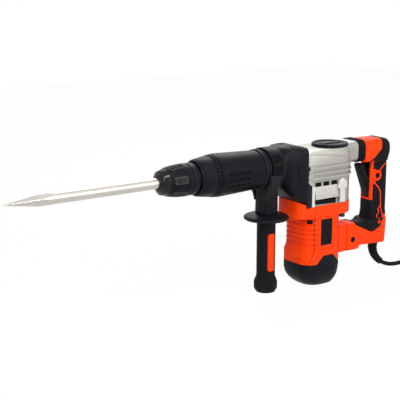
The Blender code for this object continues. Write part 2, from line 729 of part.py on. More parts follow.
def build_barrel(shop):
    """Notched collar, grooved barrel sleeve, ridged neck and the steel cylinder."""
    bore = HOLDER_DIAMETER / 2 + FIT_GAP
    outer = COLLAR_DIAMETER / 2
    rear = COLLAR_FRONT_X + COLLAR_LENGTH
    step_x = COLLAR_FRONT_X + COLLAR_CHAMFER
    ring_x = rear - NOTCH_LENGTH - COLLAR_CHAMFER
    profile = [(COLLAR_FRONT_X, bore), (COLLAR_FRONT_X, outer - COLLAR_CHAMFER),
               (step_x, outer - NOTCH_DEPTH),
               (ring_x, outer - NOTCH_DEPTH), (ring_x, outer), (rear, outer), (rear, bore)]
    collar = shop.add("front_collar", turned(profile), BLACK_PLASTIC)
    half = math.pi * COLLAR_DIAMETER / NOTCH_COUNT / 4

    def notch():
        return block((rear - NOTCH_LENGTH, -half, outer - NOTCH_DEPTH),
                     (rear + NOTCH_LENGTH, half, outer + NOTCH_DEPTH))

    shop.cut(collar, turned_copies(notch, NOTCH_COUNT))

    front_r, rear_r = BARREL_FRONT_DIAMETER / 2, BARREL_REAR_DIAMETER / 2
    edge = COLLAR_CHAMFER / 2
    profile = [(BARREL_FRONT_X, bore), (BARREL_FRONT_X, front_r - edge), (BARREL_FRONT_X + edge, front_r),
               (BARREL_REAR_X - edge, rear_r), (BARREL_REAR_X, rear_r - edge),
               (BARREL_REAR_X, BARREL_BORE / 2),
               (HOLDER_FLANGE_X - FIT_GAP, BARREL_BORE / 2), (HOLDER_FLANGE_X - FIT_GAP, bore)]
    barrel = shop.add("barrel_sleeve", turned(profile), BLACK_PLASTIC)
    groove_rear = BARREL_REAR_X - edge * 2
    groove_front = groove_rear - GROOVE_LENGTH
    slope = (rear_r - front_r) / BARREL_LENGTH
    floors = [front_r + slope * (x - BARREL_FRONT_X) - GROOVE_DEPTH for x in (groove_front, groove_rear)]
    outline = [(groove_front, floors[0]), (groove_rear, floors[1]),
               (groove_rear, front_r + GROOVE_DEPTH), (groove_front, front_r + GROOVE_DEPTH)]
    grooves = []
    for side in (1, -1):
        for k in (0, 1, 2):
            turn = side * (math.radians(90.0) + (k - 0.5) * GROOVE_PITCH_ANGLE)
            grooves.append(spun(extruded(outline, "XZ", -GROOVE_HEIGHT / 2, GROOVE_HEIGHT / 2), turn))
    shop.cut(barrel, merged(grooves))

    bore = CYLINDER_OUTER / 2 + FIT_GAP
    start = BARREL_REAR_X + FIT_GAP
    plain, ridge, seat = NECK_DIAMETER / 2, NECK_RIDGE_DIAMETER / 2, NECK_BAND_SEAT_DIAMETER / 2
    profile = [(start, bore), (start, ridge), (start + NECK_RIDGE_WIDTH, ridge),
               (start + NECK_RIDGE_WIDTH, plain), (BAND_FRONT_X - FIT_GAP, plain),
               (BAND_FRONT_X - FIT_GAP, seat), (NECK_REAR_X, seat), (NECK_REAR_X, bore)]
    shop.add("barrel_neck", turned(profile), BLACK_PLASTIC)
    cylinder = tube(HOLDER_REAR_X + FIT_GAP, CYLINDER_REAR_X, CYLINDER_OUTER, CYLINDER_BORE)
    shop.add("cylinder_tube", cylinder, STEEL)


def build_hammer_train(shop):
    """Impact bolt, striker with its ring and the hollow drive piston."""
    shank, head = BOLT_SHANK_DIAMETER / 2, BOLT_DIAMETER / 2
    front = CHISEL_SHANK_IN + FIT_GAP
    rear = front + BOLT_LENGTH
    head_x = rear - BOLT_HEAD_LENGTH
    edge = CHISEL_CHAMFER
    profile = [(front, 0.0), (front, shank - edge), (front + edge, shank), (head_x, shank), (head_x, head),
               (rear - edge, head), (rear, head - edge), (rear, 0.0)]
    shop.add("impact_bolt", turned(profile, steps=SMALL_STEPS), STEEL)

    nose, body = STRIKER_NOSE_DIAMETER / 2, CYLINDER_BORE / 2 - FIT_GAP
    body_x = STRIKER_X + STRIKER_NOSE_LENGTH
    rear = STRIKER_X + STRIKER_LENGTH
    ring_x = (body_x + rear) / 2
    ring = STRIKER_RING_WIDTH / 2
    profile = [(STRIKER_X, 0.0), (STRIKER_X, nose), (body_x, nose), (body_x, body),
               (ring_x - ring - FIT_GAP, body), (ring_x - ring - FIT_GAP, body - ring * 2),
               (ring_x + ring + FIT_GAP, body - ring * 2), (ring_x + ring + FIT_GAP, body),
               (rear, body), (rear, 0.0)]
    shop.add("striker", turned(profile, steps=INNER_STEPS), STEEL)
    shop.add("striker_ring", tube(ring_x - ring, ring_x + ring, 2 * body, 2 * (body - ring * 2 + FIT_GAP)),
             BLACK_RUBBER)

    skirt = body - PISTON_WALL
    crown = PISTON_FRONT_X + PISTON_CROWN
    rear = PISTON_FRONT_X + PISTON_LENGTH
    profile = [(PISTON_FRONT_X, 0.0), (PISTON_FRONT_X, body), (rear, body), (rear, skirt), (crown, skirt),
               (crown, 0.0)]
    shop.add("piston", turned(profile, steps=INNER_STEPS), ALUMINIUM)


def build_gear_housing(shop):
    """Aluminium gear case: half-round rear, ribbed sides, grille, neck for the bellows."""
    half = HOUSING_WIDTH / 2
    plan = stadium(HOUSING_FRONT_X, CRANK_X, half, HOUSING_CORNER)
    top_plan = stadium(HOUSING_FRONT_X, CRANK_X, half, HOUSING_CORNER, -HOUSING_TOP_CHAMFER)
    shoulder_z = HOUSING_TOP_Z - HOUSING_SHOULDER_DROP
    levels = ((plan, HOUSING_BOTTOM_Z), (plan, shoulder_z), (top_plan, HOUSING_TOP_Z))
    body = lofted([[(x, y, z) for x, y in outline] for outline, z in levels])
    housing = shop.add("gear_housing", body, ALUMINIUM)

    for level in HOUSING_RIB_LEVELS:
        rib = stadium(HOUSING_FRONT_X + HOUSING_CORNER, CRANK_X, half, HOUSING_CORNER, HOUSING_RIB_RISE)
        shop.join(housing, extruded(rib, "XY", level - HOUSING_RIB_HEIGHT / 2,
                                    level + HOUSING_RIB_HEIGHT / 2))
    neck_half = REAR_NECK_WIDTH / 2
    corner = HOUSING_CORNER
    neck = soft_box(-neck_half, neck_half, REAR_NECK_BOTTOM_Z, REAR_NECK_TOP_Z, corner)
    shop.join(housing, extruded(neck, "YZ", CRANK_X + HOUSING_CORNER, REAR_NECK_REAR_X))
    post_x = GRILLE_REAR_X + POST_WIDTH / 2 + FIT_GAP
    post_foot = HOUSING_BOTTOM_Z + RUN_GAP
    post = [(post_x - POST_WIDTH / 2, post_foot), (post_x + POST_WIDTH / 2, post_foot),
            (post_x + POST_WIDTH / 2, GRILLE_TOP_Z - POST_WIDTH / 2), (post_x, GRILLE_TOP_Z),
            (post_x - POST_WIDTH / 2, GRILLE_TOP_Z - POST_WIDTH / 2)]
    shop.join(housing, extruded(post, "XZ", -half - POST_RISE, half + POST_RISE))

    inner_half = half - HOUSING_WALL
    room = stadium(HOUSING_FRONT_X + HOUSING_WALL, CRANK_X, inner_half, HOUSING_CORNER)
    shop.cut(housing, extruded(room, "XY", WEB_TOP_Z, DECK_BOTTOM_Z))
    shop.cut(housing, extruded(room, "XY", HOUSING_BOTTOM_Z - HOUSING_WALL, WEB_BOTTOM_Z))
    well = CAP_SPIGOT_DIAMETER / 2 + FIT_GAP
    seat = CAP_DIAMETER / 2 + 2 * FIT_GAP
    seat_z = HOUSING_TOP_Z + FIT_GAP / 2
    low, high = DECK_BOTTOM_Z - HOUSING_WALL, HOUSING_TOP_Z + CAP_DIAMETER
    opening = [(low, 0.0), (low, well), (seat_z, well), (seat_z, seat), (high, seat), (high, 0.0)]
    shop.cut(housing, turned(opening, "Z", ROUND_STEPS, (CRANK_X, 0.0, 0.0)))
    shop.cut(housing, drum(HOUSING_FRONT_X - HOUSING_WALL, CYLINDER_REAR_X + RUN_GAP,
                           CYLINDER_OUTER + 2 * FIT_GAP, "X", INNER_STEPS))
    for centre_x in (CRANK_X, MOTOR_X):
        shop.cut(housing, drum(WEB_BOTTOM_Z - HOUSING_WALL, WEB_TOP_Z + HOUSING_WALL,
                               BEARING_OUTER + 2 * FIT_GAP, "Z", INNER_STEPS, (centre_x, 0.0, 0.0)))

    reach = HOUSING_WIDTH
    panels = []
    windows = []
    for side in (-1, 1):
        face = side * half
        outer = side * reach
        floor = face - side * GRILLE_DEPTH
        panels.append(block((GRILLE_FRONT_X, min(floor, outer), HOUSING_BOTTOM_Z + HOUSING_WALL),
                            (GRILLE_REAR_X, max(floor, outer), GRILLE_TOP_Z)))
        gap = (GRILLE_REAR_X - GRILLE_FRONT_X) / GRILLE_HOLE_COUNT
        deep = face - side * GRILLE_HOLE_DEPTH
        for k in range(GRILLE_HOLE_COUNT):
            x = GRILLE_FRONT_X + gap * (k + 0.5)
            windows.append(block((x - GRILLE_HOLE_LENGTH / 2, min(deep, outer),
                                  GRILLE_TOP_Z - 1.3 * GRILLE_HOLE_HEIGHT),
                                 (x + GRILLE_HOLE_LENGTH / 2, max(deep, outer),
                                  GRILLE_TOP_Z - 0.3 * GRILLE_HOLE_HEIGHT)))
    shop.cut(housing, merged(panels))
    shop.cut(housing, merged(windows))
    vent_bottom = HOUSING_BOTTOM_Z + HOUSING_WALL + GRILLE_DEPTH
    inset = HOUSING_WALL
    shop.cut(housing, block((GRILLE_FRONT_X + inset, -reach, vent_bottom),
                            (GRILLE_REAR_X - inset, reach, vent_bottom + VENT_HEIGHT)))


def build_top_cap(shop):
    """Round grease cap over the crank: spigot, rim and a raised grip bar."""
    top = HOUSING_TOP_Z + CAP_RISE
    rim = CAP_DIAMETER / 2
    base = HOUSING_TOP_Z + FIT_GAP
    edge = CAP_RISE / 3
    spigot = CAP_SPIGOT_DIAMETER / 2
    hollow = spigot - HOUSING_WALL
    profile = [(DECK_BOTTOM_Z, hollow), (DECK_BOTTOM_Z, spigot), (base, spigot), (base, rim),
               (top - edge, rim),
               (top, rim - edge), (top, rim - 3 * edge), (top - edge, rim - 4 * edge), (top - edge, 0.0),
               (base, 0.0), (base, hollow)]
    cap = shop.add("top_cap", turned(profile, "Z", centre=(CRANK_X, 0.0, 0.0)), BLACK_PLASTIC)
    length = rim - 6 * edge
    bar = soft_box(CRANK_X - length, CRANK_X + length, -edge * 3, edge * 3, edge * 2, 2)
    shop.join(cap, extruded(bar, "XY", top - 1.5 * edge, top))


def shield(half_width, bottom, top, radius):
    """Front view ring of the cover at one place along the barrel."""
    return soft_box(-half_width, half_width, bottom, top, radius, 7)


def build_front_cover(shop):
    """Black cover that grows from the round barrel neck to the gear case section."""
    half = COVER_WIDTH / 2
    seat = NECK_BAND_SEAT_DIAMETER / 2 + FIT_GAP
    ring = COVER_TOP_Z - HOUSING_WALL / 4
    rear = HOUSING_FRONT_X - FIT_GAP
    waist = (COVER_FRONT_X + COVER_SHOULDER_X) / 2
    stations = ((COVER_FRONT_X, shield(ring - HOUSING_WALL / 2, -ring + HOUSING_WALL / 2,
                                       ring - HOUSING_WALL / 2, ring - HOUSING_WALL)),
                (COVER_FRONT_X + HOUSING_WALL, shield(ring, -ring, ring, ring - HOUSING_WALL)),
                (waist, shield(half, (COVER_LIP_Z - ring) / 2, COVER_TOP_Z, MOTOR_CORNER)),
                (COVER_SHOULDER_X, shield(half, COVER_LIP_Z, COVER_TOP_Z, MOTOR_CORNER * 0.8)),
                (rear, shield(half, COVER_BOTTOM_Z, COVER_TOP_Z - HOUSING_WALL / 2, HOUSING_CORNER)))
    body = lofted([[(x, y, z) for y, z in outline] for x, outline in stations])
    cover = shop.add("front_cover", body, BLACK_PLASTIC)
    shop.cut(cover, drum(COVER_FRONT_X - HOUSING_WALL, rear + HOUSING_WALL, 2 * seat, "X", ROUND_STEPS))
    room = soft_box(-half + 2 * HOUSING_WALL, half - 2 * HOUSING_WALL, COVER_LIP_Z + 2 * HOUSING_WALL,
                    -seat - HOUSING_WALL, HOUSING_WALL)
    shop.cut(cover, extruded(room, "YZ", COVER_SHOULDER_X, rear + HOUSING_WALL))
    slots = []
    for k in range(COVER_VENT_COUNT):
        x = rear - HOUSING_WALL - COVER_VENT_PITCH * (k + 0.5)
        for side in (-1, 1):
            low, high = sorted((side * 2 * HOUSING_WALL, side * (half - 2 * HOUSING_WALL)))
            slots.append(block((x - COVER_VENT_WIDTH / 2, low, COVER_TOP_Z - HOUSING_WALL),
                               (x + COVER_VENT_WIDTH / 2, high, COVER_TOP_Z + HOUSING_WALL)))
    shop.cut(cover, merged(slots))
    pad = soft_box(COVER_SHOULDER_X - HOUSING_WALL, rear - HOUSING_WALL, -4 * HOUSING_WALL, HOUSING_WALL / 2,
                   HOUSING_WALL / 2, 2)
    shop.join(cover, extruded(pad, "XZ", -half - COVER_PAD_RISE, -half + HOUSING_WALL))
    shop.join(cover, extruded(pad, "XZ", half - HOUSING_WALL, half + COVER_PAD_RISE))


def motor_ring(front, rear, half_width, z, corner):
    """Plan ring of the motor housing or tail cap at one height."""
    return [(x, y, z) for x, y in soft_box(front, rear, -half_width, half_width, corner, 5)]


def front_wrap(depth):
    """C-shaped plan of a groove that wraps the round front of the motor housing."""
    half = MOTOR_WIDTH / 2
    near = MOTOR_FRONT_X + MOTOR_CORNER
    side = half - MOTOR_CORNER
    radius = MOTOR_CORNER - depth
    beyond = half + HOUSING_WALL
    inner = arc((near, -side), radius, -90, -180, 4) + arc((near, side), radius, 180, 90, 4)
    return inner + [(near, beyond), (MOTOR_FRONT_X - HOUSING_WALL, beyond),
                    (MOTOR_FRONT_X - HOUSING_WALL, -beyond), (near, -beyond)]


def side_shield(grow=0.0):
    """Six-sided side view of the shield that the tail cap raises on each flank."""
    foot = BADGE_LENGTH / 2 + BADGE_RISE / 2 + grow
    head = BADGE_LENGTH / 2 - BADGE_RISE / 2 + grow
    top = MOTOR_BOTTOM_Z + BADGE_RISE + grow
    bottom = MOTOR_BOTTOM_Z - BADGE_RISE / 2 - grow
    return [(BADGE_X - foot, bottom), (BADGE_X + foot, bottom), (BADGE_X + foot, MOTOR_BOTTOM_Z),
            (BADGE_X + head, top), (BADGE_X - head, top), (BADGE_X - foot, MOTOR_BOTTOM_Z)]


def build_motor_housing(shop):
    """Orange motor housing: band under the gear case, ribbed front, lug for the handle."""
    half = MOTOR_WIDTH / 2
    flare_z = MOTOR_BOTTOM_Z + MOTOR_FLARE_HEIGHT
    front = MOTOR_FRONT_X
    rings = [motor_ring(front, MOTOR_REAR_X, half, MOTOR_BAND_BOTTOM_Z + HOUSING_WALL, MOTOR_CORNER),
             motor_ring(front, MOTOR_REAR_X, half, flare_z + MOTOR_FLARE_HEIGHT / 2, MOTOR_CORNER),
             motor_ring(front - MOTOR_FLARE, MOTOR_REAR_X, half + MOTOR_FLARE / 4, flare_z, MOTOR_CORNER),
             motor_ring(front - MOTOR_FLARE, MOTOR_REAR_X, half + MOTOR_FLARE / 4, MOTOR_BOTTOM_Z,
                        MOTOR_CORNER)]
    housing = shop.add("motor_housing", lofted(rings), ORANGE)
    ribs = [extruded(front_wrap(MOTOR_RIB_DEPTH), "XY", PLATE_TOP_Z - MOTOR_RIB_PITCH * k - MOTOR_RIB_HEIGHT,
                     PLATE_TOP_Z - MOTOR_RIB_PITCH * k) for k in range(MOTOR_RIB_COUNT)]
    shop.cut(housing, merged(ribs))

    band = stadium(MOTOR_BAND_FRONT_X, CRANK_X, half, MOTOR_CORNER)
    shop.join(housing, extruded(band, "XY", MOTOR_BAND_BOTTOM_Z, COVER_LIP_Z))
    far = REAR_NECK_REAR_X
    near = MOTOR_BAND_FRONT_X - HOUSING_WALL
    wide = half + HOUSING_WALL
    step = HOUSING_BOTTOM_Z - FIT_GAP
    slope = (COVER_BOTTOM_Z - COVER_LIP_Z) / (HOUSING_FRONT_X - COVER_SHOULDER_X)
    lip = COVER_LIP_Z - 2 * FIT_GAP + slope * (near - COVER_SHOULDER_X)
    lip_rear = COVER_BOTTOM_Z - 2 * FIT_GAP
    above = [(near, lip), (HOUSING_FRONT_X - FIT_GAP, lip_rear), (HOUSING_FRONT_X - FIT_GAP, step),
             (far, step),
             (far, HOUSING_TOP_Z), (near, HOUSING_TOP_Z)]
    shop.cut(housing, extruded(above, "XZ", -wide, wide))

    arm = ARM_WIDTH / 2
    stub_rear = HANDLE_SEAM_X - HANDLE_SEAM_GAP
    stub = soft_box(-arm, arm, ARM_BOTTOM_Z, ARM_TOP_Z, HANDLE_ROUND, 2)
    shop.join(housing, extruded(stub, "YZ", MOTOR_X + half - HOUSING_WALL, stub_rear))
    lug = [(stub_rear - HOUSING_WALL, PIVOT_Z - LUG_RADIUS)]
    lug += arc((PIVOT_X, PIVOT_Z), LUG_RADIUS, -90, 90, 8)
    lug += [(stub_rear - HOUSING_WALL, PIVOT_Z + LUG_RADIUS)]
    shop.join(housing, extruded(lug, "XZ", -LUG_WIDTH / 2, LUG_WIDTH / 2))
    shop.cut(housing, drum(-ARM_WIDTH, ARM_WIDTH, PIVOT_PIN_DIAMETER + 2 * FIT_GAP, "Y", SMALL_STEPS,
                           (PIVOT_X, 0.0, PIVOT_Z)))
    shop.cut(housing, drum(MOTOR_BOTTOM_Z - HOUSING_WALL, MOTOR_BAND_BOTTOM_Z + HOUSING_WALL, MOTOR_BORE, "Z",
                           ROUND_STEPS, (MOTOR_X, 0.0, 0.0)))
    throat = stadium(HOUSING_FRONT_X + HOUSING_WALL, CRANK_X, HOUSING_WIDTH / 2 - HOUSING_WALL,
                     HOUSING_CORNER)
    shop.cut(housing, extruded(throat, "XY", MOTOR_BAND_BOTTOM_Z + HOUSING_WALL, HOUSING_TOP_Z))
    recess = soft_box(PLATE_X - PLATE_LENGTH / 2 - FIT_GAP, PLATE_X + PLATE_LENGTH / 2 + FIT_GAP,
                      PLATE_TOP_Z - PLATE_HEIGHT - FIT_GAP, PLATE_TOP_Z + FIT_GAP, PLATE_THICKNESS)
    shop.cut(housing, extruded(recess, "XZ", -wide, -half + PLATE_THICKNESS + FIT_GAP))
    plate = soft_box(PLATE_X - PLATE_LENGTH / 2, PLATE_X + PLATE_LENGTH / 2, PLATE_TOP_Z - PLATE_HEIGHT,
                     PLATE_TOP_Z, PLATE_THICKNESS)
    deep = half - PLATE_THICKNESS - FIT_GAP
    notch = side_shield(FIT_GAP)
    shop.cut(housing, merged([extruded(notch, "XZ", -wide, -deep), extruded(notch, "XZ", deep, wide)]))
    holes = [drum(MOTOR_BAND_BOTTOM_Z - HOUSING_WALL, MOTOR_BAND_BOTTOM_Z + 3 * HOUSING_WALL,
                  BAND_BOLT_DIAMETER + 2 * FIT_GAP, "Z", SMALL_STEPS,
                  (CRANK_X + BAND_BOLT_BACK, side * BAND_BOLT_SPREAD, 0.0)) for side in (-1, 1)]
    shop.cut(housing, merged(holes))
    shop.add("side_plate", extruded(plate, "XZ", -half, -half + PLATE_THICKNESS), BLACK_PLASTIC)


def build_tail_cap(shop):
    """Black tail cap: raised side shields, tapered foot, seat for the tail bearing."""
    half = MOTOR_WIDTH / 2 + MOTOR_FLARE / 4
    front = MOTOR_FRONT_X - MOTOR_FLARE
    top = MOTOR_BOTTOM_Z - FIT_GAP
    taper_z = FLOOR_Z + TAIL_TAPER_HEIGHT
    rings = [motor_ring(front, MOTOR_REAR_X, half, top, MOTOR_CORNER),
             motor_ring(front, MOTOR_REAR_X, half, taper_z, MOTOR_CORNER),
             motor_ring(front + TAIL_FRONT_TAPER, MOTOR_REAR_X - TAIL_REAR_TAPER, half - TAIL_SIDE_TAPER,
                        FLOOR_Z, MOTOR_CORNER)]
    cap = shop.add("tail_cap", lofted(rings), BLACK_PLASTIC)
    at = (MOTOR_X, 0.0, 0.0)
    seat_bottom = TAIL_BEARING_TOP_Z - BEARING_WIDTH - FIT_GAP
    race = BEARING_OUTER / 2 + FIT_GAP
    bore = MOTOR_BORE / 2 - HOUSING_WALL
    high = top + HOUSING_WALL
    hollow = [(seat_bottom, 0.0), (seat_bottom, race), (TAIL_BEARING_TOP_Z, race), (TAIL_BEARING_TOP_Z, bore),
              (high, bore), (high, 0.0)]
    shop.cut(cap, turned(hollow, "Z", INNER_STEPS, at))
    rim = half + FIT_GAP
    skin = MOTOR_WIDTH / 2 - PLATE_THICKNESS
    shop.join(cap, extruded(side_shield(), "XZ", -rim, -skin))
    shop.join(cap, extruded(side_shield(), "XZ", skin, rim))


def toothed(teeth, backlash):
    """Outline of a spur gear about the origin, four points a tooth, first tooth on +X."""
    pitch = teeth * GEAR_MODULE / 2
    tip = pitch + 0.8 * GEAR_MODULE
    root = pitch - 1.1 * GEAR_MODULE
    step = math.tau / teeth
    half = step / 4 - backlash / (2 * pitch)
    slant = math.tan(math.radians(22.0))
    points = []
    for k in range(teeth):
        middle = k * step
        for radius, side in ((root, -1), (tip, -1), (tip, 1), (root, 1)):
            width = half - (radius - pitch) * slant / pitch
            angle = middle + side * width
            points.append((radius * math.cos(angle), radius * math.sin(angle)))
    return points


def build_crank(shop):
    """Crankshaft with its disc and pin, the big gear, the connecting rod and wrist pin."""
    at = (CRANK_X, 0.0, 0.0)
    shaft = CRANKSHAFT_DIAMETER / 2
    hub = shaft + HOUSING_WALL
    disc = CRANK_DISC_DIAMETER / 2
    bottom = WEB_BOTTOM_Z + FIT_GAP
    profile = [(bottom, 0.0), (bottom, shaft), (GEAR_TOP_Z + FIT_GAP, shaft), (GEAR_TOP_Z + FIT_GAP, hub),
               (CRANK_DISC_BOTTOM_Z, hub), (CRANK_DISC_BOTTOM_Z, disc), (CRANK_DISC_TOP_Z, disc),
               (CRANK_DISC_TOP_Z, 0.0)]
    crank = shop.add("crankshaft", turned(profile, "Z", INNER_STEPS, at), STEEL, pivot=at)
    pin_top = ROD_THICKNESS / 2 + RUN_GAP
    pin = drum(CRANK_DISC_BOTTOM_Z + FIT_GAP, pin_top, CRANK_PIN_DIAMETER, "Z", SMALL_STEPS,
               (CRANK_PIN_X, 0.0, 0.0))
    shop.join(crank, pin)

    gear = extruded(toothed(GEAR_TEETH, GEAR_BACKLASH), "XY", GEAR_BOTTOM_Z, GEAR_TOP_Z)
    turn = math.pi + math.pi / GEAR_TEETH
    bmesh.ops.rotate(gear, verts=gear.verts, cent=(0, 0, 0), matrix=Matrix.Rotation(turn, 3, "Z"))
    bmesh.ops.translate(gear, verts=gear.verts, vec=at)
    wheel = shop.add("crank_gear", gear, STEEL, pivot=at)
    shop.cut(wheel, drum(GEAR_BOTTOM_Z - HOUSING_WALL, GEAR_TOP_Z + HOUSING_WALL,
                         CRANKSHAFT_DIAMETER + 2 * FIT_GAP,
                         "Z", INNER_STEPS, at))

    half = ROD_THICKNESS / 2
    web = ROD_SHANK_WIDTH / 2
    big, small = ROD_BIG_END / 2, ROD_SMALL_END / 2
    lean = math.degrees(math.asin(web / big))
    tilt = math.degrees(math.asin(web / small))
    outline = arc((CRANK_PIN_X, 0.0), big, -180 + lean, 180 - lean, 12)
    outline += arc((WRIST_X, 0.0), small, tilt, 360 - tilt, 8)
    pivot = (CRANK_PIN_X, 0.0, 0.0)
    rod = shop.add("connecting_rod", extruded(outline, "XY", -half, half), STEEL, pivot=pivot)
    shop.cut(rod, drum(-ROD_THICKNESS, ROD_THICKNESS, CRANK_PIN_DIAMETER + 2 * FIT_GAP, "Z",
                       SMALL_STEPS, pivot))
    wrist = (WRIST_X, 0.0, 0.0)
    shop.cut(rod, drum(-ROD_THICKNESS, ROD_THICKNESS, WRIST_PIN_DIAMETER + 2 * FIT_GAP, "Z",
                       SMALL_STEPS, wrist))
    pin = drum(-half, half, WRIST_PIN_DIAMETER, "Z", SMALL_STEPS, wrist)
    shop.add("wrist_pin", pin, STEEL, pivot=pivot)
    lower = WEB_BOTTOM_Z + FIT_GAP
    shop.add("crank_bearing", tube(lower, lower + BEARING_WIDTH, BEARING_OUTER,
                                   CRANKSHAFT_DIAMETER + 2 * FIT_GAP,
                                   "Z", INNER_STEPS, at), STEEL)


def build_armature(shop):
    """Armature shaft with pinion, slotted core, commutator and fan, and its bearings."""
    at = (MOTOR_X, 0.0, 0.0)
    bottom = TAIL_BEARING_TOP_Z - BEARING_WIDTH
    body = shop.add("armature_shaft", drum(bottom, GEAR_BOTTOM_Z + FIT_GAP, ARMATURE_SHAFT_DIAMETER, "Z",
                                           SMALL_STEPS, at), STEEL, pivot=at)
    pinion = extruded(toothed(PINION_TEETH, GEAR_BACKLASH), "XY", GEAR_BOTTOM_Z, GEAR_TOP_Z)
    bmesh.ops.translate(pinion, verts=pinion.verts, vec=at)
    shop.join(body, pinion)

    bore = ARMATURE_SHAFT_DIAMETER + 2 * FIT_GAP
    core_bottom = STATOR_TOP_Z - STATOR_LENGTH
    core = shop.add("armature_core",
                    tube(core_bottom, STATOR_TOP_Z, ARMATURE_DIAMETER, bore, "Z", INNER_STEPS, at),
                    STEEL, pivot=at)
    rim = ARMATURE_DIAMETER / 2
    half = ARMATURE_SLOT_WIDTH / 2
    slots = turned_copies(lambda: block((rim - ARMATURE_SLOT_DEPTH, -half, core_bottom - HOUSING_WALL),
                                        (rim + HOUSING_WALL, half, STATOR_TOP_Z + HOUSING_WALL)),
                          ARMATURE_SLOTS, "Z")
    bmesh.ops.translate(slots, verts=slots.verts, vec=at)
    shop.cut(core, slots)
    low = COMMUTATOR_TOP_Z - COMMUTATOR_LENGTH
    shop.add("commutator",
             tube(low, COMMUTATOR_TOP_Z, COMMUTATOR_DIAMETER, bore, "Z", INNER_STEPS, at), COPPER,
             pivot=at)

    fan_bottom = FAN_TOP_Z - FAN_HEIGHT
    disc_top = fan_bottom + FAN_DISC
    hub = FAN_HUB_DIAMETER / 2
    outer = FAN_DIAMETER / 2
    profile = [(fan_bottom, bore / 2), (fan_bottom, outer), (disc_top, outer), (disc_top, hub),
               (FAN_TOP_Z, hub),
               (FAN_TOP_Z, bore / 2)]
    fan = shop.add("cooling_fan", turned(profile, "Z", INNER_STEPS, at), BLACK_PLASTIC, pivot=at)
    half = FAN_BLADE_THICKNESS / 2
    blades = turned_copies(lambda: block((hub + HOUSING_WALL, -half, disc_top - FAN_DISC / 2),
                                         (outer - HOUSING_WALL / 4, half, FAN_TOP_Z)), FAN_BLADES, "Z")
    bmesh.ops.translate(blades, verts=blades.verts, vec=at)
    shop.join(fan, blades)

    for name, top in (("armature_bearing_top", WEB_BOTTOM_Z + FIT_GAP + BEARING_WIDTH),
                      ("armature_bearing_tail", TAIL_BEARING_TOP_Z)):
        ring = tube(top - BEARING_WIDTH, top, BEARING_OUTER, bore, "Z", INNER_STEPS, at)
        shop.add(name, ring, STEEL)


def build_stator(shop):
    """Stator ring and, on each side of the commutator, a brass holder with its brush."""
    at = (MOTOR_X, 0.0, 0.0)
    ring = tube(STATOR_TOP_Z - STATOR_LENGTH, STATOR_TOP_Z, MOTOR_BORE - 2 * FIT_GAP,
                ARMATURE_DIAMETER + 4 * RUN_GAP, "Z", INNER_STEPS, at)
    shop.add("stator", ring, STEEL)
    middle = COMMUTATOR_TOP_Z - COMMUTATOR_LENGTH / 2
    half = BRUSH_SIZE / 2
    shell = half + FIT_GAP + BRUSH_HOLDER_WALL
    inner = COMMUTATOR_DIAMETER / 2 + FIT_GAP
    holder_in = inner + BRUSH_HOLDER_WALL
    reach = math.sqrt((MOTOR_BORE / 2) ** 2 - shell ** 2) - FIT_GAP
    for name, side in (("left", -1), ("right", 1)):
        low, high = sorted((side * holder_in, side * reach))
        holder = shop.add("brush_holder_" + name, block((MOTOR_X - shell, low, middle - shell),
                                                        (MOTOR_X + shell, high, middle + shell)), BRASS)
        tunnel = half + FIT_GAP
        shop.cut(holder, block((MOTOR_X - tunnel, low - HOUSING_WALL, middle - tunnel),
                               (MOTOR_X + tunnel, high + HOUSING_WALL, middle + tunnel)))
        low, high = sorted((side * inner, side * (inner + BRUSH_LENGTH)))
        shop.add("carbon_brush_" + name, block((MOTOR_X - half, low, middle - half),
                                               (MOTOR_X + half, high, middle + half)), CARBON)


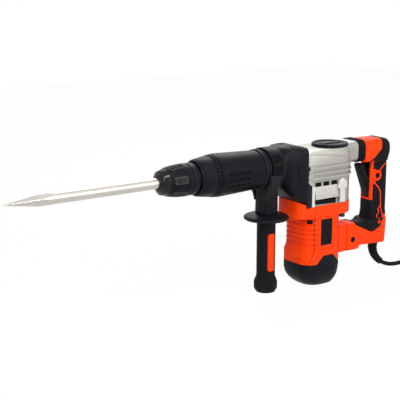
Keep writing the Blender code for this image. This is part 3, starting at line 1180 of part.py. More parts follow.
def build_side_handle(shop):
    """Clamp bracket round the barrel neck, stud, flange and grip with its inlay."""
    bore = NECK_BAND_SEAT_DIAMETER / 2 + FIT_GAP
    outer = bore + BAND_WALL
    bracket = shop.add("side_bracket", tube(BAND_FRONT_X, BAND_REAR_X, 2 * outer, 2 * bore, "X", ROUND_STEPS),
                       BLACK_PLASTIC)
    wide = SIDE_NECK_WIDTH / 2
    corner = BAND_WALL
    rings = []
    for length, z in ((BAND_WIDTH, SIDE_NECK_TOP_Z), (SIDE_NECK_LENGTH, SIDE_NECK_BOTTOM_Z)):
        ring = soft_box(SIDE_X - length / 2, SIDE_X + length / 2, -wide, wide, corner, 2)
        rings.append([(x, y, z) for x, y in ring])
    shop.join(bracket, lofted(rings))
    shop.cut(bracket, drum(BAND_FRONT_X - BAND_WALL, BAND_REAR_X + BAND_WALL, 2 * bore, "X", ROUND_STEPS))
    at = (SIDE_X, 0.0, 0.0)
    stud_top = SIDE_NECK_BOTTOM_Z + STUD_LENGTH / 3
    stud_bottom = stud_top - STUD_LENGTH
    stud_hole = STUD_DIAMETER + 2 * FIT_GAP
    shop.cut(bracket, drum(SIDE_NECK_BOTTOM_Z - BAND_WALL, stud_top + FIT_GAP, stud_hole, "Z",
                           SMALL_STEPS, at))
    shop.add("clamp_stud", drum(stud_bottom, stud_top, STUD_DIAMETER, "Z", SMALL_STEPS, at), STEEL, pivot=at)

    top = SIDE_NECK_BOTTOM_Z - FIT_GAP
    rim, collar = FLANGE_DIAMETER / 2, wide + FIT_GAP
    bottom = top - FLANGE_HEIGHT
    edge = FLANGE_HEIGHT / 3
    hole = stud_hole / 2
    grip = GRIP_DIAMETER / 2
    profile = [(top, hole), (top, collar), (top - edge, rim - edge), (top - 1.6 * edge, rim),
               (bottom + edge / 2, rim), (bottom, rim - edge / 2), (bottom + edge / 2, grip),
               (bottom + edge / 2, hole)]
    shop.add("grip_flange", turned(profile, "Z", ROUND_STEPS, at), BLACK_RUBBER, pivot=at)

    start = bottom + edge / 2 - FIT_GAP
    foot, swell = GRIP_FOOT_DIAMETER / 2, GRIP_END_DIAMETER / 2
    shoulder = FLOOR_Z + GRIP_END_LENGTH
    profile = [(start, hole), (start, grip), (shoulder + GRIP_END_LENGTH / 3, grip), (shoulder - edge, swell),
               (FLOOR_Z + edge * 2, swell), (FLOOR_Z, foot), (FLOOR_Z, 0.0), (stud_bottom - FIT_GAP, 0.0),
               (stud_bottom - FIT_GAP, hole)]
    handle = shop.add("side_grip", turned(profile, "Z", ROUND_STEPS, at), BLACK_RUBBER, pivot=at)
    corner = INLAY_WIDTH / 3
    reach = GRIP_DIAMETER
    depth = grip - INLAY_DEPTH
    window = soft_box(SIDE_X - INLAY_WIDTH / 2 - FIT_GAP, SIDE_X + INLAY_WIDTH / 2 + FIT_GAP,
                      INLAY_TOP_Z - INLAY_LENGTH - FIT_GAP, INLAY_TOP_Z + FIT_GAP, corner)
    flank = depth * math.cos(math.asin(INLAY_WIDTH / GRIP_DIAMETER))
    shop.cut(handle, extruded(window, "XZ", -reach, -flank))
    panel = soft_box(SIDE_X - INLAY_WIDTH / 2, SIDE_X + INLAY_WIDTH / 2, INLAY_TOP_Z - INLAY_LENGTH,
                     INLAY_TOP_Z, corner)
    floor = depth * math.cos(math.asin(INLAY_WIDTH / GRIP_DIAMETER)) + FIT_GAP
    inlay = shop.add("grip_inlay", extruded(panel, "XZ", -reach, -floor), ORANGE, pivot=at)
    skin = drum(INLAY_TOP_Z - 2 * INLAY_LENGTH, INLAY_TOP_Z + INLAY_LENGTH, GRIP_DIAMETER, "Z",
                ROUND_STEPS, at)
    shop.combine(inlay, skin, "INTERSECT")


def handle_outline():
    """Side view of the whole D-handle: head, waisted grip, foot and lower arm."""
    soft = HANDLE_ROUND + FIT_GAP
    rear = HANDLE_REAR_X
    foot_z = ARM_STEP_Z - FOOT_DROP
    return rounded([
        (HANDLE_FRONT_X, HANDLE_TOP_Z, soft),
        (rear, HANDLE_TOP_Z, CROWN_RADIUS),
        (rear, GRIP_WAIST_Z + PALM_HIGH, soft),
        (rear - NIP_DEPTH, GRIP_WAIST_Z + NIP_HIGH, WAIST_RADIUS),
        (rear, GRIP_WAIST_Z - PALM_LOW, PALM_RADIUS),
        (rear - PALM_LEAN, foot_z + HEEL_HEIGHT, soft),
        (rear - HEEL_SET, foot_z, HEEL_SET / 2),
        (ARM_STEP_X, ARM_STEP_Z, STEP_RADIUS),
        (ARM_STEP_X - PALM_LEAN, ARM_BOTTOM_Z, soft),
        (HANDLE_SEAM_X, ARM_BOTTOM_Z, soft),
        (HANDLE_SEAM_X, ARM_TOP_Z, soft),
        (PIVOT_X + WAIST_DEPTH, ARM_TOP_Z, ARM_TOP_RADIUS),
        (GRIP_FRONT_X - CROTCH_LENGTH, ARM_TOP_Z - CROTCH_DROP, CROTCH_RADIUS),
        (GRIP_FRONT_X, ARM_TOP_Z + CROTCH_LENGTH, CROTCH_RADIUS),
        (GRIP_FRONT_X, HANDLE_HEAD_BOTTOM_Z, THROAT_RADIUS),
        (HANDLE_FRONT_X, HANDLE_HEAD_BOTTOM_Z, soft)], 3)


def inset(outline, depth):
    """Move every edge of a closed outline inward by depth, one point per corner."""
    count = len(outline)
    area = sum(outline[i - 1][0] * outline[i][1] - outline[i][0] * outline[i - 1][1] for i in range(count))
    inward = math.copysign(1.0, area)
    moved = []
    for i in range(count):
        here = Vector(outline[i])
        normals = []
        for start, end in ((Vector(outline[i - 1]), here), (here, Vector(outline[(i + 1) % count]))):
            along = (end - start).normalized()
            normals.append(Vector((-along.y, along.x)) * inward)
        push = (normals[0] + normals[1]) * depth / (1.0 + normals[0].dot(normals[1]))
        moved.append(tuple(here + push))
    return moved


def cushion(outline, levels):
    """Solid across Y whose side-view outline shrinks at each (y, depth) level."""
    return lofted([[(x, y, z) for x, z in inset(outline, depth)] for y, depth in levels])


def grip_waist():
    """Cutting tool that slims both flanks of the grip between head and lower arm."""
    wide, slim = HANDLE_WIDTH, GRIP_WIDTH / 2
    high, low = HANDLE_HEAD_BOTTOM_Z, ARM_TOP_Z
    ramp = HANDLE_WIDTH * 0.43
    flank = [(slim, high - ramp), (slim, low + ramp / 2), (wide, low - ramp / 2), (wide, high + ramp / 2)]
    near, far = HANDLE_SEAM_X, HANDLE_REAR_X + ramp
    return merged([extruded(flank, "YZ", near, far),
                   extruded([(-y, z) for y, z in flank], "YZ", near, far)])


def grip_corners(side):
    """Cutting tool that rounds the grip's front and rear edges on one flank."""
    wide, slim = HANDLE_WIDTH, GRIP_WIDTH / 2
    front, rear = GRIP_FRONT_X - RUN_GAP, HANDLE_REAR_X + RUN_GAP
    near, far = front - HANDLE_WIDTH, rear + HANDLE_WIDTH
    high, low = HANDLE_HEAD_BOTTOM_Z, ARM_TOP_Z + CROTCH_LENGTH
    levels = ((high, 0.1), (high - GRIP_ROUND_RAMP, 1.0), (low, 1.0), (low - GRIP_ROUND_RAMP, 0.1))
    sections = []
    for z, share in levels:
        fore, aft = GRIP_FRONT_ROUND * share, GRIP_REAR_ROUND * share
        inner = [(rear, -FIT_GAP)] + arc((rear - aft, slim - aft), aft, 0, 90, 5)
        inner += arc((front + fore, slim - fore), fore, 90, 180, 5) + [(front, -FIT_GAP)]
        outline = [(near, -FIT_GAP), (near, wide), (far, wide), (far, -FIT_GAP)] + inner
        sections.append([(x, side * y, z) for x, y in outline])
    return lofted(sections)


def mould_knots():
    """Side-view points that the overmould's edge turns at, by name."""
    strip = GRIP_FRONT_X + STRIP_WIDTH
    toe = (GRIP_FRONT_X - MOULD_WALL, ARM_TOP_Z - MOULD_FOOT_DROP)
    heel = (GRIP_FRONT_X + MOULD_HEEL_LENGTH, toe[1] + MOULD_HEEL_RISE)
    return {"ramp": (strip, MOULD_SHOULDER_Z - MOULD_RAMP_DROP),
            "chin": (strip, TRIGGER_PIVOT_Z - TRIGGER_EAR_RADIUS - MOULD_BELOW_TRIGGER),
            "crotch": (GRIP_FRONT_X - MOULD_REACH, ARM_TOP_Z - MOULD_HEEL_RISE / 2),
            "toe": toe, "sole": (GRIP_FRONT_X + MOULD_FLANK, toe[1]), "heel": heel,
            "palm": (heel[0] + MOULD_PALM_LENGTH, toe[1] + MOULD_PALM_RISE)}


def zone_top(grow):
    """Upper edge of the overmould's zone, from above the handle down to the chin."""
    knots = mould_knots()
    top = HANDLE_TOP_Z + HANDLE_WIDTH
    return [(OVERMOULD_FRONT_X - grow, top), (OVERMOULD_FRONT_X - grow, MOULD_SHOULDER_Z + grow),
            (knots["ramp"][0] - grow, knots["ramp"][1] + grow),
            (knots["chin"][0] - grow, knots["chin"][1] + grow)]


def zone_rear(grow):
    """Rear edge of the overmould's zone, from the heel up past the handle's back."""
    knots = mould_knots()
    far = HANDLE_REAR_X + HANDLE_WIDTH
    return [(knots["heel"][0] + grow, knots["heel"][1] - grow),
            (knots["palm"][0] + grow, knots["palm"][1] - grow),
            (far, knots["palm"][1] - grow), (far, HANDLE_TOP_Z + HANDLE_WIDTH)]


def zone_front(grow):
    """Front edge of the overmould's zone: chin, finger side and crotch down to the sole."""
    knots = mould_knots()
    front = knots["crotch"][0] - grow
    return [(front, knots["chin"][1] + grow), (front, knots["crotch"][1] - grow),
            (knots["toe"][0], knots["toe"][1] - grow), (knots["sole"][0], knots["sole"][1] - grow)]


def rear_zone(grow=0.0):
    """Side view of the zone behind the orange strip that the overmould fills."""
    return zone_top(grow) + zone_front(grow) + zone_rear(grow)


def core_span(grow=0.0):
    """Front and rear place of the shell's core inside the overmould."""
    return GRIP_FRONT_X + MOULD_WALL - grow, mould_knots()["heel"][0] + grow


def build_rear_handle(shop):
    """Two orange shells, the black overmould, pivot pin, bellows and damper spring."""
    half = HANDLE_WIDTH / 2
    outline = handle_outline()
    pivot = (PIVOT_X, 0.0, PIVOT_Z)
    reach = HANDLE_WIDTH
    pocket = [(HANDLE_SEAM_X - LUG_RADIUS, PIVOT_Z - LUG_RADIUS - HANDLE_SEAM_GAP)]
    pocket += arc((PIVOT_X, PIVOT_Z), LUG_RADIUS + HANDLE_SEAM_GAP, -90, 90, 8)
    pocket += [(HANDLE_SEAM_X - LUG_RADIUS, PIVOT_Z + LUG_RADIUS + HANDLE_SEAM_GAP)]
    lug_half = LUG_WIDTH / 2 + FIT_GAP
    slot = TRIGGER_WIDTH / 2 + FIT_GAP
    strip = GRIP_FRONT_X + STRIP_WIDTH
    slot_bottom = TRIGGER_PIVOT_Z - TRIGGER_EAR_RADIUS - FIT_GAP
    swell = HANDLE_ROUND * (1.0 - math.sqrt(0.5))
    levels = [(half - HANDLE_ROUND, 0.0), (half - swell, swell), (half, HANDLE_ROUND)]
    for name, side in (("left", -1), ("right", 1)):
        part = cushion(outline, [(side * y, depth) for y, depth in [(FIT_GAP / 2, 0.0)] + levels])
        shell = shop.add("handle_shell_" + name, part, ORANGE, pivot=pivot)
        shop.cut(shell, grip_waist())
        shop.cut(shell, grip_corners(side))
        core = GRIP_WIDTH / 2 - MOULD_FLANK
        chin_z = mould_knots()["chin"][1] + FIT_GAP
        core_front, core_rear = core_span()
        shop.cut(shell, extruded(rear_zone(FIT_GAP), "XZ", *sorted((side * core, side * reach))))
        inner = sorted((-side * FIT_GAP, side * (core + FIT_GAP)))
        behind = zone_top(FIT_GAP) + [(core_rear, chin_z)] + zone_rear(FIT_GAP)
        shop.cut(shell, extruded(behind, "XZ", *inner))
        ahead = [(core_front, chin_z)] + zone_front(FIT_GAP)[:-1] + [(core_front, zone_front(FIT_GAP)[-1][1])]
        shop.cut(shell, extruded(ahead, "XZ", *inner))
        shop.cut(shell, extruded(pocket, "XZ", -lug_half, lug_half))
        shop.cut(shell, block((HANDLE_FRONT_X - reach, -slot, slot_bottom),
                              (strip, slot, HANDLE_HEAD_BOTTOM_Z)))
        pins = merged([drum(-reach, reach, PIVOT_PIN_DIAMETER + 2 * FIT_GAP, "Y", SMALL_STEPS, pivot),
                       drum(-reach, reach, TRIGGER_PIN_DIAMETER + 2 * FIT_GAP, "Y", SMALL_STEPS,
                            (TRIGGER_PIVOT_X, 0.0, TRIGGER_PIVOT_Z))])
        shop.cut(shell, pins)
        if side < 0:
            at = (BUTTON_X, 0.0, BUTTON_Z)
            shop.join(shell, drum(BUTTON_FACE_Y, BUTTON_INNER_Y, BUTTON_BOSS_DIAMETER, "Y", INNER_STEPS, at))
            shop.cut(shell, drum(-reach, 0.0, BUTTON_DIAMETER + 2 * FIT_GAP, "Y", SMALL_STEPS, at))

    both = cushion(outline, [(-y, depth) for y, depth in reversed(levels)] + levels)
    mould = shop.add("grip_overmould", both, BLACK_RUBBER, pivot=pivot)
    shop.cut(mould, grip_waist())
    shop.cut(mould, grip_corners(-1))
    shop.cut(mould, grip_corners(1))
    shop.combine(mould, extruded(rear_zone(), "XZ", -reach, reach), "INTERSECT")
    core = GRIP_WIDTH / 2 - MOULD_FLANK + FIT_GAP
    core_front, core_rear = core_span(FIT_GAP)
    core_top = mould_knots()["chin"][1] + 2 * FIT_GAP
    shop.cut(mould, block((core_front, -core, ARM_BOTTOM_Z), (core_rear, core, core_top)))
    room = SWITCH_WIDTH / 2 + FIT_GAP
    shop.cut(mould, block((strip - HANDLE_ROUND, -room, SWITCH_TOP_Z - SWITCH_HEIGHT - FIT_GAP),
                          (strip + SWITCH_DEPTH + 2 * FIT_GAP, room, SWITCH_TOP_Z + FIT_GAP)))
    shop.cut(mould, drum(-reach, -room + FIT_GAP, BUTTON_BOSS_DIAMETER + 2 * FIT_GAP, "Y", INNER_STEPS,
                         (BUTTON_X, 0.0, BUTTON_Z)))
    front = strip + FIT_GAP
    switch = block((front, -SWITCH_WIDTH / 2, SWITCH_TOP_Z - SWITCH_HEIGHT),
                   (front + SWITCH_DEPTH, SWITCH_WIDTH / 2, SWITCH_TOP_Z))
    shop.add("switch_body", switch, BLACK_PLASTIC, pivot=pivot)
    pin_half = half - HANDLE_SEAM_GAP
    shop.add("handle_pivot_pin",
             drum(-pin_half, pin_half, PIVOT_PIN_DIAMETER, "Y", SMALL_STEPS, pivot), STEEL)


def build_bellows(shop):
    """Ribbed rubber bellows between the gear case neck and the handle, spring inside."""
    front = REAR_NECK_REAR_X + FIT_GAP
    rear = HANDLE_FRONT_X - FIT_GAP
    half = REAR_NECK_WIDTH / 2 - BELLOWS_RIB_RISE / 2
    bottom, top = REAR_NECK_BOTTOM_Z, REAR_NECK_TOP_Z - BELLOWS_RIB_RISE / 2
    rings = []
    stations = 2 * BELLOWS_RIBS
    for k in range(stations + 1):
        x = front + (rear - front) * k / stations
        rise = BELLOWS_RIB_RISE * (k % 2)
        ring = soft_box(-half - rise, half + rise, bottom - rise, top + rise, HOUSING_CORNER)
        rings.append([(x, y, z) for y, z in ring])
    bellows = shop.add("handle_bellows", lofted(rings), BLACK_RUBBER)
    wall = BELLOWS_WALL
    core = soft_box(-half + wall, half - wall, bottom + wall, top - wall, HOUSING_CORNER - wall)
    shop.cut(bellows, extruded(core, "YZ", front - wall, rear + wall))
    middle = (bottom + top) / 2
    tip = FIT_GAP + DAMPER_WIRE / 2
    wire(shop, "damper_spring", helix(front + tip, rear - tip, DAMPER_DIAMETER, DAMPER_TURNS, middle),
         DAMPER_WIRE, STEEL, 0)


def build_trigger(shop):
    """Paddle trigger on its pin, and the lock button in its orange bezel."""
    pivot = (TRIGGER_PIVOT_X, 0.0, TRIGGER_PIVOT_Z)
    ear = TRIGGER_EAR_RADIUS
    soft = TRIGGER_DEPTH / 4
    outline = rounded([(TRIGGER_TOP_X, TRIGGER_TOP_Z, soft),
                       (TRIGGER_TOP_X + TRIGGER_DEPTH, TRIGGER_TOP_Z, soft),
                       (TRIGGER_PIVOT_X + ear, TRIGGER_PIVOT_Z + ear, soft),
                       (TRIGGER_PIVOT_X + ear, TRIGGER_PIVOT_Z - ear, soft),
                       (TRIGGER_PIVOT_X - ear, TRIGGER_PIVOT_Z - ear, soft)])
    width = TRIGGER_WIDTH / 2
    paddle = shop.add("trigger", extruded(outline, "XZ", -width, width), BLACK_PLASTIC, pivot=pivot)
    bevel = paddle.modifiers.new("edge", "BEVEL")
    bevel.width = soft / 2
    bevel.segments = 1
    bevel.limit_method = "ANGLE"
    bevel.angle_limit = math.radians(60.0)
    shop.cut(paddle, drum(-HANDLE_WIDTH, HANDLE_WIDTH, TRIGGER_PIN_DIAMETER + 2 * FIT_GAP, "Y",
                          SMALL_STEPS, pivot))
    pin_half = GRIP_WIDTH / 2 - HANDLE_SEAM_GAP
    shop.add("trigger_pin", drum(-pin_half, pin_half, TRIGGER_PIN_DIAMETER, "Y", SMALL_STEPS, pivot), STEEL,
             pivot=pivot)
    at = (BUTTON_X, 0.0, BUTTON_Z)
    button = drum(BUTTON_FACE_Y - BUTTON_TRAVEL / 2, BUTTON_INNER_Y - BUTTON_TRAVEL, BUTTON_DIAMETER, "Y",
                  SMALL_STEPS, at)
    shop.add("lock_button", button, BLACK_PLASTIC, pivot=(BUTTON_X, BUTTON_FACE_Y, BUTTON_Z))


def build_band_bolts(shop):
    """Two black bolts under the rear ledge of the motor housing band."""
    for name, side in (("left", -1), ("right", 1)):
        at = (CRANK_X + BAND_BOLT_BACK, side * BAND_BOLT_SPREAD, 0.0)
        seat = MOTOR_BAND_BOTTOM_Z - FIT_GAP
        shank, head = BAND_BOLT_DIAMETER / 2, BAND_BOLT_HEAD / 2
        crown = seat - BAND_BOLT_HEAD / 2
        profile = [(crown, 0.0), (crown, head), (seat, head), (seat, shank),
                   (seat + 2 * HOUSING_WALL, shank), (seat + 2 * HOUSING_WALL, 0.0)]
        shop.add("band_bolt_" + name, turned(profile, "Z", SMALL_STEPS, at), BLACK_PLASTIC)


def smooth_run(route, steps):
    """Points of a smooth curve through the hand-chosen points of a route."""
    knots = [Vector(point) for point in route]
    padded = [2 * knots[0] - knots[1]] + knots + [2 * knots[-1] - knots[-2]]
    points = []
    for a, b, c, d in zip(padded, padded[1:], padded[2:], padded[3:]):
        for k in range(steps):
            t = k / steps
            points.append(0.5 * (2 * b + (c - a) * t + (2 * a - 5 * b + 4 * c - d) * t ** 2
                                 + (3 * b - a - 3 * c + d) * t ** 3))
    return points + [knots[-1]]


def coil_points():
    """Clockwise coil: spirals in on the floor layer, climbs half a turn, spirals out."""
    turns = COIL_TURNS_PER_LAYER
    half = COIL_POINTS // 2
    total = 2 * turns * COIL_POINTS
    start_in = turns * COIL_POINTS - half
    points = []
    for k in range(total + 1):
        angle = math.radians(90.0) - math.tau * k / COIL_POINTS
        inward = min(k, start_in) / COIL_POINTS
        outward = max(k - start_in - half, 0) / COIL_POINTS
        climb = min(max(k - start_in, 0) / half, 1.0)
        radius = COIL_OUTER_RADIUS - COIL_PITCH * (inward - outward)
        points.append((COIL_X + radius * math.cos(angle), COIL_Y + radius * math.sin(angle),
                       COIL_Z + COIL_LAYER * climb))
    return points


def least_gap(points, diameter):
    """Least free space between two passes of a tube that are half a loop or more apart."""
    apart = COIL_POINTS // 2
    pairs = ((a, b) for i, a in enumerate(points) for b in points[i + apart:])
    return min((Vector(a) - Vector(b)).length for a, b in pairs) - diameter


def build_cord(shop):
    """Strain-relief boot, free lead, put-away coil with its tie, and a two-pin plug."""
    route = smooth_run([(x, y, FLOOR_Z + rise) for x, y, rise in CORD_ROUTE], 3)
    split = BOOT_KNOTS * 3
    boot_run = route[:split + 1]
    boot = wire(shop, "cord_boot", boot_run, BOOT_TOP_DIAMETER, BLACK_RUBBER, 3)
    for k, point in enumerate(boot.data.splines[0].points):
        share = k / (len(boot_run) - 1)
        point.radius = 1.0 + (BOOT_END_DIAMETER / BOOT_TOP_DIAMETER - 1.0) * share
    ahead = (route[split] - route[split - 1]).normalized()
    butt = Vector((CORD_BUTT, 0.0, 0.0))
    apart = Vector((FIT_GAP, 0.0, 0.0))
    lead = [route[split] + ahead * FIT_GAP, route[split] + ahead * CORD_BUTT]
    lead += route[split + 1:-1] + [route[-1] - butt, route[-1]]
    wire(shop, "cord_lead", lead, CORD_DIAMETER, BLACK_RUBBER, 2)

    coil = [Vector(point) for point in coil_points()]
    coil = [coil[0] + apart, coil[0] + butt] + coil[1:-1] + [coil[-1] - butt, coil[-1]]
    wire(shop, "cord_coil", coil, CORD_DIAMETER, BLACK_RUBBER, 1)
    print("least gap between the coil's turns: %.2f mm" % (1000 * least_gap(coil, CORD_DIAMETER)))
    length = sum((b - a).length for run in (route, coil) for a, b in zip(run, run[1:]))
    end = coil[-1]
    plug_rear = end + Vector((PLUG_LEAD, 0.0, PLUG_DIAMETER / 2 + FLOOR_Z - end.z))
    run = smooth_run([end + apart, end + Vector((PLUG_LEAD / 4, 0.0, 0.0)),
                      plug_rear - Vector((PLUG_LEAD / 4, 0.0, 0.0)), plug_rear], 2)
    wire(shop, "cord_tail", run, CORD_DIAMETER, BLACK_RUBBER, 2)
    print("lead length: %.2f m" % (length + PLUG_LEAD))
    build_plug(shop, plug_rear + apart)

    inner = COIL_INNER_RADIUS * math.cos(math.pi / COIL_POINTS) - CORD_DIAMETER / 2 - FIT_GAP
    outer = COIL_OUTER_RADIUS + CORD_DIAMETER / 2 + FIT_GAP
    low = COIL_Z - CORD_DIAMETER / 2 - FIT_GAP
    high = COIL_Z + COIL_LAYER + CORD_DIAMETER / 2 + FIT_GAP
    wall = TIE_THICKNESS
    strap = [(COIL_Y - outer - wall, low - wall), (COIL_Y - inner + wall, low - wall),
             (COIL_Y - inner + wall, high + wall), (COIL_Y - outer - wall, high + wall)]
    band = extruded(strap, "YZ", COIL_X - TIE_WIDTH / 2, COIL_X + TIE_WIDTH / 2)
    tie = shop.add("cord_tie", band, BLACK_RUBBER)
    gap = [(COIL_Y - outer, low), (COIL_Y - inner, low), (COIL_Y - inner, high), (COIL_Y - outer, high)]
    shop.cut(tie, extruded(gap, "YZ", COIL_X - TIE_WIDTH, COIL_X + TIE_WIDTH))


def build_plug(shop, rear):
    """Two-pin mains plug lying on the floor: tapered grip, round face, two pins."""
    radius = PLUG_DIAMETER / 2
    neck = CORD_DIAMETER
    profile = [(0.0, 0.0), (0.0, neck), (PLUG_LENGTH / 2, radius * 0.8), (PLUG_LENGTH * 0.7, radius),
               (PLUG_LENGTH, radius), (PLUG_LENGTH, 0.0)]
    plug = shop.add("mains_plug", turned(profile, "X", INNER_STEPS, rear), BLACK_RUBBER)
    pins = [drum(PLUG_LENGTH * 0.9, PLUG_LENGTH + PLUG_PIN_LENGTH, PLUG_PIN_DIAMETER, "X", SMALL_STEPS,
                 rear + Vector((0.0, side * PLUG_PIN_SPACING / 2, 0.0))) for side in (-1, 1)]
    shop.join(plug, merged(pins))


def main():
    """Build every piece of the hammer on one root empty."""
    shop = Workshop()
    build_chisel(shop)
    build_tool_holder(shop)
    build_locking_sleeve(shop)
    build_barrel(shop)
    build_hammer_train(shop)
    build_gear_housing(shop)
    build_top_cap(shop)
    build_front_cover(shop)
    build_motor_housing(shop)
    build_tail_cap(shop)
    build_crank(shop)
    build_armature(shop)
    build_stator(shop)
    build_side_handle(shop)
    build_rear_handle(shop)
    build_bellows(shop)
    build_trigger(shop)
    build_band_bolts(shop)
    build_cord(shop)


if __name__ == "__main__":
    main()
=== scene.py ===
"""Looks of an electric demolition hammer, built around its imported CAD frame.

Every mesh here is written in the same places as the part's source: X back along the
barrel from the nose front, Z up from the barrel's axis, Y to the tool's right. NOSE
moves a finished mesh into the frame, where it rides on a CAD body by name.
"""

from __future__ import annotations

import json
import logging
import math
from dataclasses import dataclass, field
from enum import Enum
from typing import Callable, Iterable, Sequence

import bmesh
import bpy
from mathutils import Matrix, Vector
from mathutils.bvhtree import BVHTree

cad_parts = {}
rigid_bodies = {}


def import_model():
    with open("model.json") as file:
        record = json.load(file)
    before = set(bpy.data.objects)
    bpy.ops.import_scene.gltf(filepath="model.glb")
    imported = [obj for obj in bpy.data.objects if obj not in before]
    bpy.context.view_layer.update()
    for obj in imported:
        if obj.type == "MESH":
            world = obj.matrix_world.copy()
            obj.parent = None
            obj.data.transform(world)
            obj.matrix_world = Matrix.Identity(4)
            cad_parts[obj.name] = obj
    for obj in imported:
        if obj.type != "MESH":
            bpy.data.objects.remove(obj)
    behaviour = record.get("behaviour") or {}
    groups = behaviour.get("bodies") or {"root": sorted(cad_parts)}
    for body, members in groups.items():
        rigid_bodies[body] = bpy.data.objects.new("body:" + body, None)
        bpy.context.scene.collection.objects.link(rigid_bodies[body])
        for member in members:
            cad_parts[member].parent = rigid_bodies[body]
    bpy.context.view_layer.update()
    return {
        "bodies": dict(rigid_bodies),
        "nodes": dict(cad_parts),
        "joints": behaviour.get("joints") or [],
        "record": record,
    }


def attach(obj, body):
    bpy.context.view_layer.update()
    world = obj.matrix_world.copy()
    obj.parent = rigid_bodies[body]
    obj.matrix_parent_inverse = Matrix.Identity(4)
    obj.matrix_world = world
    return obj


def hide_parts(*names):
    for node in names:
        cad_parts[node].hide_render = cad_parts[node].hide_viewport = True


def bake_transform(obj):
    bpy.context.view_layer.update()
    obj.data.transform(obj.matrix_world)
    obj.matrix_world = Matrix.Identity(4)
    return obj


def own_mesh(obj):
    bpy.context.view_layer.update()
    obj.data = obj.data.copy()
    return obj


LOG = logging.getLogger("hammer")
NOSE = Vector((-0.11925, 0.0, 0.222))
FLOOR_Z = -0.222
SMOOTH_ANGLE = math.radians(38.0)
Outline = Sequence[tuple[float, float]]
Colour = tuple[float, float, float]


class Grain(Enum):
    """Surface relief that a finish carries."""

    MOULDED = "moulded"
    RUBBER = "rubber"
    CAST = "cast"
    BRUSHED = "brushed"


class Axis(Enum):
    """Axis that a turned piece is spun about."""

    X = "X"
    Y = "Y"
    Z = "Z"


@dataclass(frozen=True)
class Finish:
    """One surface, real or, for one near-black, also painted shade: its colours, gloss and relief.

    The relief's scale is in waves per metre and its depth in metres.
    """

    name: str
    slot: str
    colour: Colour
    tint: Colour
    roughness: float
    spread: float
    metallic: float
    grain: Grain
    scale: float
    depth: float
    worn: Colour
    wear: float
    coat: float = 0.0
    specular: float = 0.5
    stretch: tuple[float, float, float] = (1.0, 1.0, 1.0)

    def material(self) -> bpy.types.Material:
        """Build the finish's node material, or fetch it if it is there.

        Returns:
            The Blender material.
        """
        found = bpy.data.materials.get(self.name)
        if found:
            return found
        made = bpy.data.materials.new(self.name)
        made.use_nodes = True
        tree = made.node_tree
        shader = tree.nodes["Principled BSDF"]
        shader.inputs["Metallic"].default_value = self.metallic
        shader.inputs["Coat Weight"].default_value = self.coat
        shader.inputs["Specular IOR Level"].default_value = self.specular
        place = tree.nodes.new("ShaderNodeTexCoord")
        mapping = tree.nodes.new("ShaderNodeMapping")
        mapping.inputs["Scale"].default_value = self.stretch
        tree.links.new(place.outputs["Object"], mapping.inputs["Vector"])
        fine = self._relief(tree, mapping)
        broad = self._noise(tree, mapping, 38.0, 4.0)
        self._paint(tree, shader, broad)
        gloss = tree.nodes.new("ShaderNodeMapRange")
        gloss.inputs["To Min"].default_value = self.roughness - self.spread
        gloss.inputs["To Max"].default_value = self.roughness + self.spread
        tree.links.new(broad.outputs["Fac"], gloss.inputs["Value"])
        tree.links.new(gloss.outputs["Result"], shader.inputs["Roughness"])
        bump = tree.nodes.new("ShaderNodeBump")
        bump.inputs["Strength"].default_value = 0.9
        bump.inputs["Distance"].default_value = self.depth
        tree.links.new(fine, bump.inputs["Height"])
        tree.links.new(bump.outputs["Normal"], shader.inputs["Normal"])
        return made

    def _noise(self, tree: bpy.types.NodeTree, mapping: bpy.types.Node, scale: float,
               detail: float) -> bpy.types.Node:
        """Add a noise texture on the mapped place.

        Args:
            tree: The material's node tree.
            mapping: Node that gives the place.
            scale: Waves per metre.
            detail: Octaves of the noise.

        Returns:
            The noise node.
        """
        noise = tree.nodes.new("ShaderNodeTexNoise")
        noise.inputs["Scale"].default_value = scale
        noise.inputs["Detail"].default_value = detail
        tree.links.new(mapping.outputs["Vector"], noise.inputs["Vector"])
        return noise

    def _relief(self, tree: bpy.types.NodeTree, mapping: bpy.types.Node) -> bpy.types.NodeSocket:
        """Add the height pattern of the finish's grain.

        Args:
            tree: The material's node tree.
            mapping: Node that gives the place.

        Returns:
            The socket that carries the height.
        """
        if self.grain in (Grain.BRUSHED, Grain.CAST):
            return self._noise(tree, mapping, self.scale, 5.0).outputs["Fac"]
        cells = tree.nodes.new("ShaderNodeTexVoronoi")
        cells.feature = "SMOOTH_F1" if self.grain is Grain.RUBBER else "F1"
        cells.inputs["Scale"].default_value = self.scale
        tree.links.new(mapping.outputs["Vector"], cells.inputs["Vector"])
        return cells.outputs["Distance"]

    def _paint(self, tree: bpy.types.NodeTree, shader: bpy.types.Node, broad: bpy.types.Node) -> None:
        """Mix colour, tint and the rubbed colour of worn edges into the base colour.

        Args:
            tree: The material's node tree.
            shader: The surface shader.
            broad: Noise that spreads the tint.
        """
        tinted = tree.nodes.new("ShaderNodeMix")
        tinted.data_type = "RGBA"
        tinted.inputs[6].default_value = (*self.colour, 1.0)
        tinted.inputs[7].default_value = (*self.tint, 1.0)
        tree.links.new(broad.outputs["Fac"], tinted.inputs[0])
        edge = tree.nodes.new("ShaderNodeAttribute")
        edge.attribute_name = "edge_wear"
        rubbed = tree.nodes.new("ShaderNodeMath")
        rubbed.operation = "MULTIPLY"
        rubbed.inputs[1].default_value = self.wear
        tree.links.new(edge.outputs["Fac"], rubbed.inputs[0])
        final = tree.nodes.new("ShaderNodeMix")
        final.data_type = "RGBA"
        final.inputs[7].default_value = (*self.worn, 1.0)
        tree.links.new(rubbed.outputs["Value"], final.inputs[0])
        tree.links.new(tinted.outputs[2], final.inputs[6])
        tree.links.new(final.outputs[2], shader.inputs["Base Color"])


